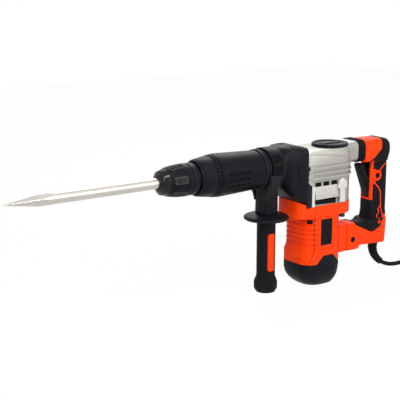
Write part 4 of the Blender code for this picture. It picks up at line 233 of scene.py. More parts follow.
class Palette:
    """The finishes that this tool is made of, and a near-black that is also laid as painted shade."""

    ORANGE = Finish("orange_glass_filled", "orange_plastic", (0.95, 0.050, 0.0008), (0.87, 0.040, 0.0007), 0.44, 0.05,
                    0.0, Grain.MOULDED, 1500.0, 0.00005, (1.0, 0.12, 0.015), 0.25, specular=0.09)
    BLACK = Finish("black_glass_filled", "black_plastic", (0.0036, 0.0038, 0.0058), (0.0060, 0.0063, 0.0088), 0.40,
                   0.08, 0.0, Grain.MOULDED, 1400.0, 0.00007, (0.040, 0.041, 0.050), 0.35, specular=0.08)
    RUBBER = Finish("black_soft_grip", "black_rubber", (0.0040, 0.0040, 0.0052), (0.0066, 0.0066, 0.0080), 0.56, 0.08,
                    0.0, Grain.RUBBER, 900.0, 0.00012, (0.026, 0.026, 0.032), 0.3, specular=0.08)
    PAD = Finish("lined_grip_pad", "black_rubber", (0.026, 0.026, 0.028), (0.036, 0.036, 0.038), 0.52, 0.08,
                 0.0, Grain.RUBBER, 900.0, 0.00006, (0.05, 0.05, 0.055), 0.3, specular=0.25)
    CAST = Finish("sand_cast_aluminium", "cast_aluminium", (0.41, 0.395, 0.36), (0.31, 0.30, 0.275), 0.42, 0.08,
                  0.8, Grain.CAST, 900.0, 0.00010, (0.74, 0.72, 0.68), 0.5)
    MACHINED = Finish("machined_aluminium", "cast_aluminium", (0.68, 0.67, 0.645), (0.60, 0.59, 0.565), 0.36, 0.06,
                      0.7, Grain.BRUSHED, 1000.0, 0.00004, (0.92, 0.91, 0.90), 0.4, stretch=(1.0, 1.0, 0.15))
    STEEL = Finish("turned_steel", "steel", (0.42, 0.42, 0.44), (0.32, 0.32, 0.34), 0.30, 0.08,
                   1.0, Grain.BRUSHED, 1200.0, 0.00003, (0.65, 0.65, 0.66), 0.4, stretch=(0.2, 1.0, 1.0))
    DARK = Finish("blackened_steel", "black_steel", (0.008, 0.008, 0.0095), (0.015, 0.015, 0.017), 0.36, 0.08,
                  0.3, Grain.CAST, 1100.0, 0.00005, (0.10, 0.10, 0.11), 0.5, specular=0.2)
    CHROME = Finish("ground_chisel_steel", "chisel_steel", (0.62, 0.585, 0.53), (0.55, 0.515, 0.465), 0.27, 0.04,
                    1.0, Grain.BRUSHED, 900.0, 0.000012, (0.82, 0.79, 0.74), 0.3, stretch=(0.12, 1.0, 1.0))
    COPPER = Finish("lacquered_copper", "copper", (0.70, 0.24, 0.09), (0.55, 0.17, 0.06), 0.32, 0.06,
                    1.0, Grain.BRUSHED, 1500.0, 0.00005, (0.85, 0.40, 0.20), 0.3)
    BRASS = Finish("cast_brass", "brass", (0.72, 0.48, 0.16), (0.60, 0.38, 0.11), 0.32, 0.06,
                   1.0, Grain.CAST, 1100.0, 0.00004, (0.90, 0.70, 0.35), 0.3)
    CARBON = Finish("pressed_carbon", "carbon", (0.018, 0.018, 0.019), (0.035, 0.035, 0.036), 0.58, 0.06,
                    0.0, Grain.CAST, 1800.0, 0.00006, (0.08, 0.08, 0.08), 0.3)
    GLOSS = Finish("polished_black_cone", "black_rubber", (0.0026, 0.0026, 0.0034), (0.0045, 0.0045, 0.0056),
                   0.11, 0.02,
                   0.0, Grain.MOULDED, 1100.0, 0.00001, (0.02, 0.02, 0.026), 0.2, specular=0.28)
    # Near-black for the seams and the lock button. It is also painted shade: dark sheets in holes, vents, cut floors,
    # slots and windows that are dark only from shade.
    DEEP_BLACK_AND_PAINTED_SHADE = Finish("deep_black_and_painted_recess_shade", "black_plastic", (0.0025, 0.0025, 0.003), (0.004, 0.004, 0.005), 0.75, 0.08,
                 0.0, Grain.CAST, 900.0, 0.00006, (0.010, 0.010, 0.010), 0.2, specular=0.08)

    BY_SLOT = {
        "orange_plastic": ORANGE, "black_plastic": BLACK, "black_rubber": RUBBER, "cast_aluminium": CAST,
        "steel": STEEL, "black_steel": DARK, "chisel_steel": CHROME, "copper": COPPER, "brass": BRASS,
        "carbon": CARBON,
    }


class Form:
    """Mesh builders: each gives a closed bmesh in the places of the part's source."""

    @staticmethod
    def skin(rings: Sequence[Sequence[Vector]], loop: bool = False) -> bmesh.types.BMesh:
        """Join rings of equally many points into one closed skin.

        Args:
            rings: Rings in order, each a list of points.
            loop: Whether the last ring joins the first, as on a tube with a bore.

        Returns:
            The closed bmesh, capped at both ends unless it loops.
        """
        mesh = bmesh.new()
        rows = [[mesh.verts.new(point) for point in ring] for ring in rings]
        pairs = list(zip(rows, rows[1:]))
        if loop:
            pairs.append((rows[-1], rows[0]))
        for low, high in pairs:
            for i in range(len(low)):
                j = (i + 1) % len(low)
                mesh.faces.new((low[i], low[j], high[j], high[i]))
        if not loop:
            mesh.faces.new(list(reversed(rows[0])))
            mesh.faces.new(rows[-1])
        bmesh.ops.recalc_face_normals(mesh, faces=mesh.faces[:])
        return mesh

    @staticmethod
    def turned(profile: Outline, axis: Axis, centre: Vector, steps: int = 96, loop: bool = True,
               shape: Callable[[float, float, float], float] | None = None) -> bmesh.types.BMesh:
        """Spin a profile of (along, radius) pairs about an axis.

        Args:
            profile: Points along the axis, each with its radius.
            axis: Axis that the profile is spun about.
            centre: Point that the axis passes through.
            steps: Points around.
            loop: Whether the profile closes on itself, as on a bored piece.
            shape: Optional change of the radius by (along, radius, angle).

        Returns:
            The closed bmesh.
        """
        rings: list[list[Vector]] = []
        for along, radius in profile:
            if radius <= 0.0:
                continue
            ring = []
            for i in range(steps):
                angle = math.tau * i / steps
                reach = shape(along, radius, angle) if shape else radius
                flat, rise = reach * math.cos(angle), reach * math.sin(angle)
                spot = {Axis.X: (along, flat, rise), Axis.Y: (flat, along, rise),
                        Axis.Z: (flat, rise, along)}[axis]
                ring.append(centre + Vector(spot))
            rings.append(ring)
        return Form.skin(rings, loop)

    @staticmethod
    def prism(outline: Outline, low: float, high: float, flat: Axis = Axis.Y) -> bmesh.types.BMesh:
        """Push an outline straight out between two levels.

        Args:
            outline: Points in the plane across the axis.
            low: First level along the axis.
            high: Second level along the axis.
            flat: Axis that the outline is pushed along.

        Returns:
            The closed bmesh.
        """
        rings = [[Form.place(a, b, level, flat) for a, b in outline] for level in (low, high)]
        return Form.skin(rings)

    @staticmethod
    def place(a: float, b: float, level: float, flat: Axis) -> Vector:
        """Give the point at (a, b) in the plane across an axis.

        Args:
            a: First place in the plane.
            b: Second place in the plane.
            level: Place along the axis.
            flat: The axis.

        Returns:
            The point.
        """
        return Vector({Axis.X: (level, a, b), Axis.Y: (a, level, b), Axis.Z: (a, b, level)}[flat])

    @staticmethod
    def rounded(width: float, height: float, radius: float, steps: int = 5) -> list[tuple[float, float]]:
        """Outline of a rectangle about the origin with round corners.

        Args:
            width: Whole width.
            height: Whole height.
            radius: Corner radius.
            steps: Points on each corner, less one.

        Returns:
            The outline's points, counter-clockwise.
        """
        points = []
        for corner, (sx, sy) in enumerate(((1, 1), (-1, 1), (-1, -1), (1, -1))):
            for i in range(steps + 1):
                angle = math.pi / 2 * (corner + i / steps)
                points.append((sx * (width / 2 - radius) + radius * math.cos(angle),
                               sy * (height / 2 - radius) + radius * math.sin(angle)))
        return points

    @staticmethod
    def filled(outline: Outline, gap: float = 0.0015) -> list[tuple[float, float]]:
        """Put points along an outline's long edges, so that it can follow a curve.

        Args:
            outline: The outline's corners.
            gap: Widest gap between points.

        Returns:
            The finer outline.
        """
        points = []
        for i, (a, b) in enumerate(outline):
            c, d = outline[(i + 1) % len(outline)]
            count = max(1, int(math.dist((a, b), (c, d)) / gap))
            points += [(a + (c - a) * k / count, b + (d - b) * k / count) for k in range(count)]
        return points

    @staticmethod
    def pillow(outline: Outline, base: float, rise: float, edge: float, flat: Axis = Axis.Y) -> bmesh.types.BMesh:
        """Raise an outline from a base level to a softly edged pad.

        Args:
            outline: Points of the pad's edge, counter-clockwise.
            base: Level that the pad grows from.
            rise: Signed height of the pad.
            edge: How far its top lies inside its edge.
            flat: Axis that the pad rises along.

        Returns:
            The closed bmesh.
        """
        centre = (sum(p[0] for p in outline) / len(outline), sum(p[1] for p in outline) / len(outline))
        reach = max(math.dist(p, centre) for p in outline)
        rings = []
        for level, draw in ((0.0, 0.0), (0.6, 0.08), (0.87, 0.4), (1.0, 1.0)):
            shrink = 1.0 - draw * edge / reach
            rings.append([Form.place(centre[0] + (a - centre[0]) * shrink, centre[1] + (b - centre[1]) * shrink,
                                     base + rise * level, flat) for a, b in outline])
        return Form.skin(rings)

    @staticmethod
    def tube(points: Sequence[Vector], radii: Sequence[float], steps: int = 16) -> bmesh.types.BMesh:
        """Sweep a round section of changing radius along points.

        Args:
            points: Centre line.
            radii: Radius at each point.
            steps: Points around.

        Returns:
            The closed bmesh.
        """
        rings = []
        side = None
        for i, point in enumerate(points):
            ahead = points[min(i + 1, len(points) - 1)] - points[max(i - 1, 0)]
            ahead.normalize()
            if side is None:
                side = ahead.orthogonal().normalized()
            side = (side - ahead * side.dot(ahead)).normalized()
            over = ahead.cross(side)
            rings.append([point + radii[i] * (side * math.cos(math.tau * k / steps)
                                              + over * math.sin(math.tau * k / steps)) for k in range(steps)])
        return Form.skin(rings)

    @staticmethod
    def joined(parts: Iterable[bmesh.types.BMesh]) -> bmesh.types.BMesh:
        """Put several closed skins into one mesh.

        Args:
            parts: The skins, which are freed.

        Returns:
            One bmesh with all of them.
        """
        whole = bmesh.new()
        for part in parts:
            hold = bpy.data.meshes.new("hold")
            part.to_mesh(hold)
            part.free()
            whole.from_mesh(hold)
            bpy.data.meshes.remove(hold)
        return whole


class Workshop:
    """Turns bmeshes into finished pieces that ride on the frame's bodies."""

    def __init__(self, frame: dict) -> None:
        """Keep the loaded frame.
        """
        self.frame = frame
        self.dressed: set[str] = set()

    def piece(self, name: str, mesh: bmesh.types.BMesh, finish: Finish, body: str,
              hides: Sequence[str] = (), shift: bool = True, angle: float = SMOOTH_ANGLE) -> bpy.types.Object:
        """Finish a mesh as one piece on a body.

        Args:
            name: The piece's name.
            mesh: Its skin, which is freed.
            finish: Its surface.
            body: Body that it rides on.
            hides: CAD nodes that it stands in for.
            shift: Whether the mesh is still in the source's places.
            angle: Edges sharper than this stay sharp.

        Returns:
            The finished object.
        """
        if shift:
            bmesh.ops.translate(mesh, verts=mesh.verts[:], vec=NOSE)
        data = bpy.data.meshes.new(name)
        mesh.to_mesh(data)
        mesh.free()
        for face in data.polygons:
            face.use_smooth = True
        data.set_sharp_from_angle(angle=angle)
        self.rub(data)
        data.materials.append(finish.material())
        made = bpy.data.objects.new(name, data)
        bpy.context.scene.collection.objects.link(made)
        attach(made, body)
        if hides:
            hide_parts(*hides)
            self.dressed.update(hides)
        LOG.info("%s: %d faces on %s", name, len(data.polygons), body)
        return made

    @staticmethod
    def rub(data: bpy.types.Mesh) -> None:
        """Store how far each vertex stands out, as the edge_wear attribute.

        Args:
            data: The mesh, which gains the attribute.
        """
        total = [0.0] * len(data.vertices)
        count = [0] * len(data.vertices)
        for edge in data.edges:
            a, b = edge.vertices
            way = data.vertices[b].co - data.vertices[a].co
            if way.length_squared == 0.0:
                continue
            way.normalize()
            total[a] -= data.vertices[a].normal.dot(way)
            total[b] += data.vertices[b].normal.dot(way)
            count[a] += 1
            count[b] += 1
        worn = data.attributes.new("edge_wear", "FLOAT", "POINT")
        for i, spot in enumerate(worn.data):
            spot.value = min(1.0, max(0.0, total[i] / max(count[i], 1) * 2.2))

    def copied(self, node: str) -> bmesh.types.BMesh:
        """Copy a CAD node's mesh, merged and with flat faces joined.

        Args:
            node: The CAD node.

        Returns:
            A bmesh in the frame's own places.
        """
        mesh = bmesh.new()
        mesh.from_mesh(self.frame[node].data)
        bmesh.ops.remove_doubles(mesh, verts=mesh.verts[:], dist=0.00002)
        bmesh.ops.dissolve_limit(mesh, angle_limit=math.radians(1.2), verts=mesh.verts[:], edges=mesh.edges[:])
        bmesh.ops.recalc_face_normals(mesh, faces=mesh.faces[:])
        return mesh

    def refined(self, node: str, finish: Finish, body: str, width: float = 0.0008, segments: int = 3,
                limit: float = 34.0, reshape: Callable[[bmesh.types.BMesh], None] | None = None) -> bpy.types.Object:
        """Stand a softened copy in for a CAD node: same form, with rounded edges.

        Args:
            node: The CAD node.
            finish: Its surface.
            body: Body that it rides on.
            width: Width of the rounding.
            segments: Steps of the rounding.
            limit: Edges that turn more than these degrees are rounded.
            reshape: Optional change of the copy before its edges are rounded.

        Returns:
            The finished object.
        """
        mesh = self.copied(node)
        if reshape:
            reshape(mesh)
        data = bpy.data.meshes.new("soften")
        mesh.to_mesh(data)
        mesh.free()
        hold = bpy.data.objects.new("soften", data)
        bpy.context.scene.collection.objects.link(hold)
        bevel = hold.modifiers.new("round", "BEVEL")
        bevel.width = width
        bevel.segments = segments
        bevel.limit_method = "ANGLE"
        bevel.angle_limit = math.radians(limit)
        bevel.use_clamp_overlap = True
        bevel.harden_normals = False
        done = bpy.data.meshes.new_from_object(hold.evaluated_get(bpy.context.evaluated_depsgraph_get()))
        soft = bmesh.new()
        soft.from_mesh(done)
        bpy.data.objects.remove(hold)
        bpy.data.meshes.remove(data)
        bpy.data.meshes.remove(done)
        return self.piece(node + "_soft", soft, finish, body, (node,), shift=False)

    def leave(self, node: str) -> None:
        """Dress a CAD node that stays as it is.

        Args:
            node: The CAD node.
        """
        shown = self.frame[node]
        slot = shown.data.materials[0].name.split(".")[0] if shown.data.materials else "steel"
        finish = Palette.BY_SLOT.get(slot, Palette.STEEL)
        shown.data.materials.clear()
        shown.data.materials.append(finish.material())
        self.dressed.add(node)


class Drape:
    """Lays thin details on the true surface of CAD nodes, seen along one axis."""

    def __init__(self, shop: Workshop, nodes: Sequence[str], flat: Axis = Axis.Y, side: int = -1) -> None:
        """Gather the surfaces that details are laid on.

        Args:
            shop: The workshop that holds the CAD nodes.
            nodes: CAD nodes whose surfaces count, or those of their softened copies.
            flat: Axis that the surface is looked at along.
            side: Sign of the side that it is looked at from.
        """
        places: list[Vector] = []
        faces: list[tuple[int, ...]] = []
        for node in nodes:
            data = (bpy.data.objects.get(node + "_soft") or shop.frame[node]).data
            first = len(places)
            places += [vertex.co.copy() for vertex in data.vertices]
            faces += [tuple(first + i for i in face.vertices) for face in data.polygons]
        self.tree = BVHTree.FromPolygons(places, faces)
        self.flat = flat
        self.side = side
        self.out = Form.place(0.0, 0.0, float(side), flat)
        self.level = NOSE.dot(self.out) * side

    def touch(self, a: float, b: float, rise: float, bridge: float = 0.0) -> Vector:
        """Find the surface at (a, b) in the plane across the axis.

        Args:
            a: First place in the plane.
            b: Second place in the plane.
            rise: How far the point stands off the surface.
            bridge: How far up and down the outermost surface is looked for.

        Returns:
            The point, in the places of the part's source.
        """
        best: Vector | None = None
        for share in (-1.0, -0.5, 0.0, 0.5, 1.0) if bridge else (0.0,):
            start = Form.place(a, b + share * bridge, 0.5 * self.side, self.flat) + NOSE
            spot = self.tree.ray_cast(start, -self.out)[0]
            if spot is not None and (best is None or (spot - best).dot(self.out) > 0.0):
                best = spot
        if best is None:
            best = self.tree.find_nearest(Form.place(a, b, 0.03 * self.side, self.flat) + NOSE)[0]
            return best - NOSE + self.out * rise
        return Form.place(a, b, best.dot(self.out) * self.side - self.level, self.flat) + self.out * rise

    def ribbon(self, line: Outline, width: float, rise: float, closed: bool = False,
               bridge: float = 0.0) -> bmesh.types.BMesh:
        """Lay a raised line on the surface.

        Args:
            line: Corner points of its middle line.
            width: Its width.
            rise: How far it stands off.
            closed: Whether its end meets its start.
            bridge: How far up and down it takes the outermost surface.

        Returns:
            The closed bmesh.
        """
        knots = [Vector(point) for point in line]
        if closed:
            knots.append(knots[0])
        points: list[Vector] = []
        for start, end in zip(knots, knots[1:]):
            count = max(2, int((end - start).length / 0.0015))
            points += [start.lerp(end, k / count) for k in range(count)]
        points.append(knots[-1])
        rings = []
        for i, point in enumerate(points):
            ahead = points[min(i + 1, len(points) - 1)] - points[max(i - 1, 0)]
            across = Vector((-ahead.y, ahead.x)).normalized() * width / 2
            top = [self.touch(*(point + across * share), rise * lift, bridge)
                   for share, lift in ((-1.0, 0.1), (-0.7, 1.0), (0.0, 1.1), (0.7, 1.0), (1.0, 0.1))]
            foot = [spot - self.out * (rise + 0.0006) for spot in (top[-1], top[0])]
            rings.append(top + foot)
        return Form.skin(rings)

    def patch(self, outline: Outline, rise: float, edge: float = 0.0006, middle: float = 1.0) -> bmesh.types.BMesh:
        """Lay a raised pad on the surface.

        Args:
            outline: Points of its edge, in order, about a centre that sees them all.
            rise: How far it stands off.
            edge: How far its top lies inside its edge.
            middle: Share of the rise that its middle keeps.

        Returns:
            The closed bmesh.
        """
        centre = Vector((sum(p[0] for p in outline) / len(outline), sum(p[1] for p in outline) / len(outline)))
        reach = max((Vector(p) - centre).length for p in outline)
        levels = [(1.0, -0.0006), (1.0, rise * 0.2), (1.0 - 0.3 * edge / reach, rise * 0.8),
                  (1.0 - edge / reach, rise)]
        levels += [(share, rise * (middle + (1.0 - middle) * share)) for share in (0.75, 0.5, 0.25, 0.06)]
        rings = []
        for share, lift in levels:
            spots = [centre + (Vector(p) - centre) * share for p in Form.filled(outline)]
            rings.append([self.touch(spot.x, spot.y, lift) for spot in spots])
        return Form.skin(rings)


class Repeater:
    """Repeats a small form with a Geometry Nodes tree that is built once."""

    TREE = "repeat_unit"

    @classmethod
    def tree(cls) -> bpy.types.NodeTree:
        """Build or fetch the tree: points, an instance on each, made real, one material.

        Returns:
            The geometry node tree.
        """
        found = bpy.data.node_groups.get(cls.TREE)
        if found:
            return found
        tree = bpy.data.node_groups.new(cls.TREE, "GeometryNodeTree")
        sockets = (("Unit", "Geometry"), ("Count", "Int"), ("Step", "Vector"), ("Turn", "Vector"),
                   ("Surface", "Material"))
        for name, kind in sockets:
            tree.interface.new_socket(name=name, in_out="INPUT", socket_type="NodeSocket" + kind)
        tree.interface.new_socket(name="Repeated", in_out="OUTPUT", socket_type="NodeSocketGeometry")
        given = tree.nodes.new("NodeGroupInput")
        result = tree.nodes.new("NodeGroupOutput")
        index = tree.nodes.new("GeometryNodeInputIndex")
        points = tree.nodes.new("GeometryNodePoints")
        spread = tree.nodes.new("GeometryNodeInstanceOnPoints")
        turn = tree.nodes.new("FunctionNodeEulerToRotation")
        real = tree.nodes.new("GeometryNodeRealizeInstances")
        surface = tree.nodes.new("GeometryNodeSetMaterial")
        for source, target in (("Step", points.inputs["Position"]), ("Turn", turn.inputs["Euler"])):
            scale = tree.nodes.new("ShaderNodeVectorMath")
            scale.operation = "SCALE"
            tree.links.new(given.outputs[source], scale.inputs[0])
            tree.links.new(index.outputs["Index"], scale.inputs["Scale"])
            tree.links.new(scale.outputs["Vector"], target)
        tree.links.new(given.outputs["Count"], points.inputs["Count"])
        tree.links.new(points.outputs["Points"], spread.inputs["Points"])
        tree.links.new(given.outputs["Unit"], spread.inputs["Instance"])
        tree.links.new(turn.outputs["Rotation"], spread.inputs["Rotation"])
        tree.links.new(spread.outputs["Instances"], real.inputs["Geometry"])
        tree.links.new(real.outputs["Geometry"], surface.inputs["Geometry"])
        tree.links.new(given.outputs["Surface"], surface.inputs["Material"])
        tree.links.new(surface.outputs["Geometry"], result.inputs["Repeated"])
        return tree

    @classmethod
    def repeat(cls, unit: bmesh.types.BMesh, count: int, finish: Finish,
               step: Sequence[float] = (0.0, 0.0, 0.0), turn: Sequence[float] = (0.0, 0.0, 0.0)
               ) -> bmesh.types.BMesh:
        """Repeat a unit along a line or about an axis through the origin.

        Args:
            unit: The unit's skin, which is freed.
            count: How many there are.
            finish: Surface that the tree sets.
            step: Move from one to the next.
            turn: Turn from one to the next, in radians about X, Y and Z.

        Returns:
            One bmesh with every unit.
        """
        data = bpy.data.meshes.new("unit")
        unit.to_mesh(data)
        unit.free()
        hold = bpy.data.objects.new("unit", data)
        bpy.context.scene.collection.objects.link(hold)
        tree = cls.tree()
        modifier = hold.modifiers.new("repeat", "NODES")
        modifier.node_group = tree
        values = {"Count": count, "Step": tuple(step), "Turn": tuple(turn), "Surface": finish.material()}
        for socket in tree.interface.items_tree:
            if socket.in_out == "INPUT" and socket.name in values:
                modifier[socket.identifier] = values[socket.name]
        hold.update_tag()
        done = bpy.data.meshes.new_from_object(hold.evaluated_get(bpy.context.evaluated_depsgraph_get()))
        made = bmesh.new()
        made.from_mesh(done)
        bpy.data.objects.remove(hold)
        bpy.data.meshes.remove(data)
        bpy.data.meshes.remove(done)
        return made


@dataclass
class Studio:
    """Camera at the photograph's angle, soft light and a pale floor."""

    camera_place: Vector = field(default_factory=lambda: Vector((-1.01495, -1.3871, 0.5757)))
    azimuth: float = math.radians(35.25)
    elevation: float = math.radians(13.0)
    lens: float = 94.5
    floor_half: float = 3.0

    def build(self) -> None:
        """Set up camera, lamps, surroundings and floor."""
        self.camera()
        self.world()
        self.lamp("key_light", (-1.3, -1.5, 1.7), 1.1, 33.0)
        self.lamp("strip_light", (-0.03, -0.76, 1.57), 0.34, 6.0)
        self.lamp("fill_light", (0.9, -1.9, 1.0), 1.6, 12.0)
        self.lamp("rim_light", (1.1, 1.2, 1.5), 1.2, 15.0)
        self.floor()

    def camera(self) -> None:
        """Place the camera and make it the scene's own."""
        data = bpy.data.cameras.new("photo_camera")
        data.lens = self.lens
        data.sensor_width = 36.0
        data.clip_end = 50.0
        camera = bpy.data.objects.new("photo_camera", data)
        bpy.context.scene.collection.objects.link(camera)
        camera.location = self.camera_place
        camera.rotation_euler = (math.pi / 2 - self.elevation, 0.0, -self.azimuth)
        bpy.context.scene.camera = camera

    def world(self) -> None:
        """Light all round softly, and show plain white behind the object."""
        world = bpy.data.worlds.new("studio")
        bpy.context.scene.world = world
        world.use_nodes = True
        tree = world.node_tree
        soft = tree.nodes["Background"]
        soft.inputs["Color"].default_value = (0.95, 0.97, 1.0, 1.0)
        soft.inputs["Strength"].default_value = 0.45
        white = tree.nodes.new("ShaderNodeBackground")
        white.inputs["Color"].default_value = (1.0, 1.0, 1.0, 1.0)
        path = tree.nodes.new("ShaderNodeLightPath")
        seen = tree.nodes.new("ShaderNodeMath")
        seen.operation = "MAXIMUM"
        tree.links.new(path.outputs["Is Camera Ray"], seen.inputs[0])
        tree.links.new(path.outputs["Is Transmission Ray"], seen.inputs[1])
        shown = tree.nodes.new("ShaderNodeMath")
        shown.operation = "MAXIMUM"
        tree.links.new(seen.outputs["Value"], shown.inputs[0])
        tree.links.new(path.outputs["Is Glossy Ray"], shown.inputs[1])
        mix = tree.nodes.new("ShaderNodeMixShader")
        tree.links.new(shown.outputs["Value"], mix.inputs["Fac"])
        tree.links.new(soft.outputs["Background"], mix.inputs[1])
        tree.links.new(white.outputs["Background"], mix.inputs[2])
        tree.links.new(mix.outputs["Shader"], tree.nodes["World Output"].inputs["Surface"])

    def lamp(self, name: str, place: tuple[float, float, float], size: float, power: float) -> None:
        """Hang one soft area lamp that looks at the tool's middle.

        Args:
            name: Its name.
            place: Where it hangs.
            size: Its width.
            power: Its power in watts.
        """
        data = bpy.data.lights.new(name, "AREA")
        data.size = size
        data.energy = power
        lamp = bpy.data.objects.new(name, data)
        bpy.context.scene.collection.objects.link(lamp)
        lamp.location = place
        lamp.rotation_euler = (Vector((0.05, 0.0, 0.12)) - Vector(place)).to_track_quat("-Z", "Y").to_euler()

    def floor(self) -> None:
        """Lay a pale floor that keeps the object's soft shadow."""
        data = bpy.data.meshes.new("floor")
        half = self.floor_half
        data.from_pydata([(-half, -half, 0.0), (half, -half, 0.0), (half, half, 0.0), (-half, half, 0.0)], [],
                         [(0, 1, 2, 3)])
        made = bpy.data.materials.new("pale_floor")
        made.use_nodes = True
        tree = made.node_tree
        shader = tree.nodes["Principled BSDF"]
        shader.inputs["Base Color"].default_value = (0.94, 0.94, 0.94, 1.0)
        shader.inputs["Roughness"].default_value = 0.9
        shader.inputs["Specular IOR Level"].default_value = 0.0
        glow = tree.nodes.new("ShaderNodeEmission")
        glow.inputs["Strength"].default_value = 1.0
        path = tree.nodes.new("ShaderNodeLightPath")
        seen = tree.nodes.new("ShaderNodeMath")
        seen.operation = "MAXIMUM"
        tree.links.new(path.outputs["Is Camera Ray"], seen.inputs[0])
        tree.links.new(path.outputs["Is Glossy Ray"], seen.inputs[1])
        share = tree.nodes.new("ShaderNodeMath")
        share.operation = "MULTIPLY"
        share.inputs[1].default_value = 0.96
        mix = tree.nodes.new("ShaderNodeMixShader")
        tree.links.new(seen.outputs["Value"], share.inputs[0])
        tree.links.new(share.outputs["Value"], mix.inputs["Fac"])
        tree.links.new(shader.outputs["BSDF"], mix.inputs[1])
        tree.links.new(glow.outputs["Emission"], mix.inputs[2])
        tree.links.new(mix.outputs["Shader"], tree.nodes["Material Output"].inputs["Surface"])
        data.materials.append(made)
        floor = bpy.data.objects.new("floor", data)
        bpy.context.scene.collection.objects.link(floor)


@dataclass
class MainsLead:
    """Ribbed boot, free lead, put-away coil with its tie, and the two-pin plug."""

    diameter: float = 0.008
    route: tuple[tuple[float, float, float], ...] = (
        (0.48700, 0.00000, 0.04960), (0.48650, 0.00000, 0.04035), (0.48746, -0.00095, 0.03142),
        (0.48988, -0.00304, 0.02349), (0.49400, -0.00637, 0.01633), (0.49966, -0.01075, 0.01059),
        (0.50668, -0.01551, 0.00676), (0.51463, -0.02003, 0.00496), (0.52450, -0.02359, 0.00462),
        (0.53593, -0.02470, 0.00502), (0.54658, -0.02341, 0.00516), (0.55815, -0.01855, 0.00500),
        (0.56937, -0.01027, 0.00523), (0.57995, -0.00210, 0.00541), (0.59066, 0.00584, 0.00559),
        (0.60289, 0.01221, 0.00575), (0.61625, 0.01620, 0.00586), (0.63000, 0.01750, 0.00590))
    boot_knots: int = 5
    boot_top: float = 0.019
    boot_end: float = 0.013
    coil_centre: tuple[float, float] = (0.630, -0.040)
    coil_rise: float = 0.0059
    coil_layer: float = 0.0092
    coil_radius: float = 0.0575
    coil_turns: int = 3
    coil_pitch: float = 0.0096
    coil_points: int = 24
    plug_lead: float = 0.045
    plug_length: float = 0.038
    plug_diameter: float = 0.036
    pin_length: float = 0.019
    pin_diameter: float = 0.0048
    pin_spacing: float = 0.019

    def smooth(self, knots: Sequence[Vector], steps: int) -> list[Vector]:
        """Run a smooth curve through given knots.

        Args:
            knots: The knots.
            steps: Points from one knot to the next.

        Returns:
            The curve's points.
        """
        padded = [2 * knots[0] - knots[1], *knots, 2 * knots[-1] - knots[-2]]
        points = []
        for a, b, c, d in zip(padded, padded[1:], padded[2:], padded[3:]):
            for k in range(steps):
                t = k / steps
                points.append(0.5 * (2 * b + (c - a) * t + (2 * a - 5 * b + 4 * c - d) * t ** 2
                                     + (3 * b - a - 3 * c + d) * t ** 3))
        return [*points, knots[-1]]

    def coil(self) -> list[Vector]:
        """Wind the coil: inwards on the floor, half a turn of climb, outwards above.

        Returns:
            The coil's points.
        """
        half = self.coil_points // 2
        turn_in = self.coil_turns * self.coil_points - half
        points = []
        for k in range(2 * self.coil_turns * self.coil_points + 1):
            angle = math.pi / 2 - math.tau * k / self.coil_points
            drawn = min(k, turn_in) - max(k - turn_in - half, 0)
            climb = min(max(k - turn_in, 0) / half, 1.0)
            radius = self.coil_radius - self.coil_pitch * drawn / self.coil_points
            points.append(Vector((self.coil_centre[0] + radius * math.cos(angle),
                                  self.coil_centre[1] + radius * math.sin(angle),
                                  FLOOR_Z + self.coil_rise + self.coil_layer * climb)))
        return points

    def build(self, shop: Workshop) -> None:
        """Make the lead and everything on it.

        Args:
            shop: The workshop that finishes pieces.
        """
        knots = [Vector((x, y, FLOOR_Z + rise)) for x, y, rise in self.route]
        run = self.smooth(knots, 4)
        coil = self.coil()
        end = coil[-1]
        plug = end + Vector((self.plug_lead, 0.0, FLOOR_Z + self.plug_diameter / 2 - end.z))
        lean = Vector((self.plug_lead / 4, 0.0, 0.0))
        tail = self.smooth([end, end + lean, plug - lean, plug], 4)
        line = run + coil[1:] + tail[1:]
        pieces = [self.boot(shop), *self.plug(shop, plug), self.tie(shop)]
        self.cord(shop, line)

    def cord(self, shop: Workshop, line: Sequence[Vector]) -> None:
        """Args:
            shop: The workshop that finishes pieces.
            line: Its centre line.
        """
        data = bpy.data.curves.new("mains_lead", "CURVE")
        data.dimensions = "3D"
        data.bevel_depth = self.diameter / 2
        data.bevel_resolution = 4
        data.use_fill_caps = True
        spline = data.splines.new("POLY")
        spline.points.add(len(line) - 1)
        for point, spot in zip(spline.points, line):
            point.co = (*(spot + NOSE), 1.0)
        spline.use_smooth = True
        data.materials.append(Palette.RUBBER.material())
        lead = bpy.data.objects.new("mains_lead", data)
        bpy.context.scene.collection.objects.link(lead)
        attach(lead, "rear_handle")
        hidden = ("cord_lead", "cord_coil", "cord_tail")
        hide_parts(*hidden)
        shop.dressed.update(hidden)

    def boot(self, shop: Workshop) -> bpy.types.Object:
        """Mould the ribbed strain-relief boot round the start of the lead.

        Args:
            shop: The workshop that finishes pieces.

        Returns:
            The boot.
        """
        knots = [Vector((x, y, FLOOR_Z + rise)) for x, y, rise in self.route[:self.boot_knots + 2]]
        fine = self.smooth(knots, 24)[:self.boot_knots * 24 + 1]
        radii = []
        for i in range(len(fine)):
            share = i / (len(fine) - 1)
            radius = (self.boot_top + (self.boot_end - self.boot_top) * share) / 2
            groove = 0.5 - 0.5 * math.cos(math.tau * share * 9)
            radii.append(radius - 0.0011 * groove ** 3 * (0.12 < share < 0.97))
        return shop.piece("cord_boot_ribbed", Form.tube(fine, radii, 28), Palette.RUBBER, "rear_handle",
                          ("cord_boot",))

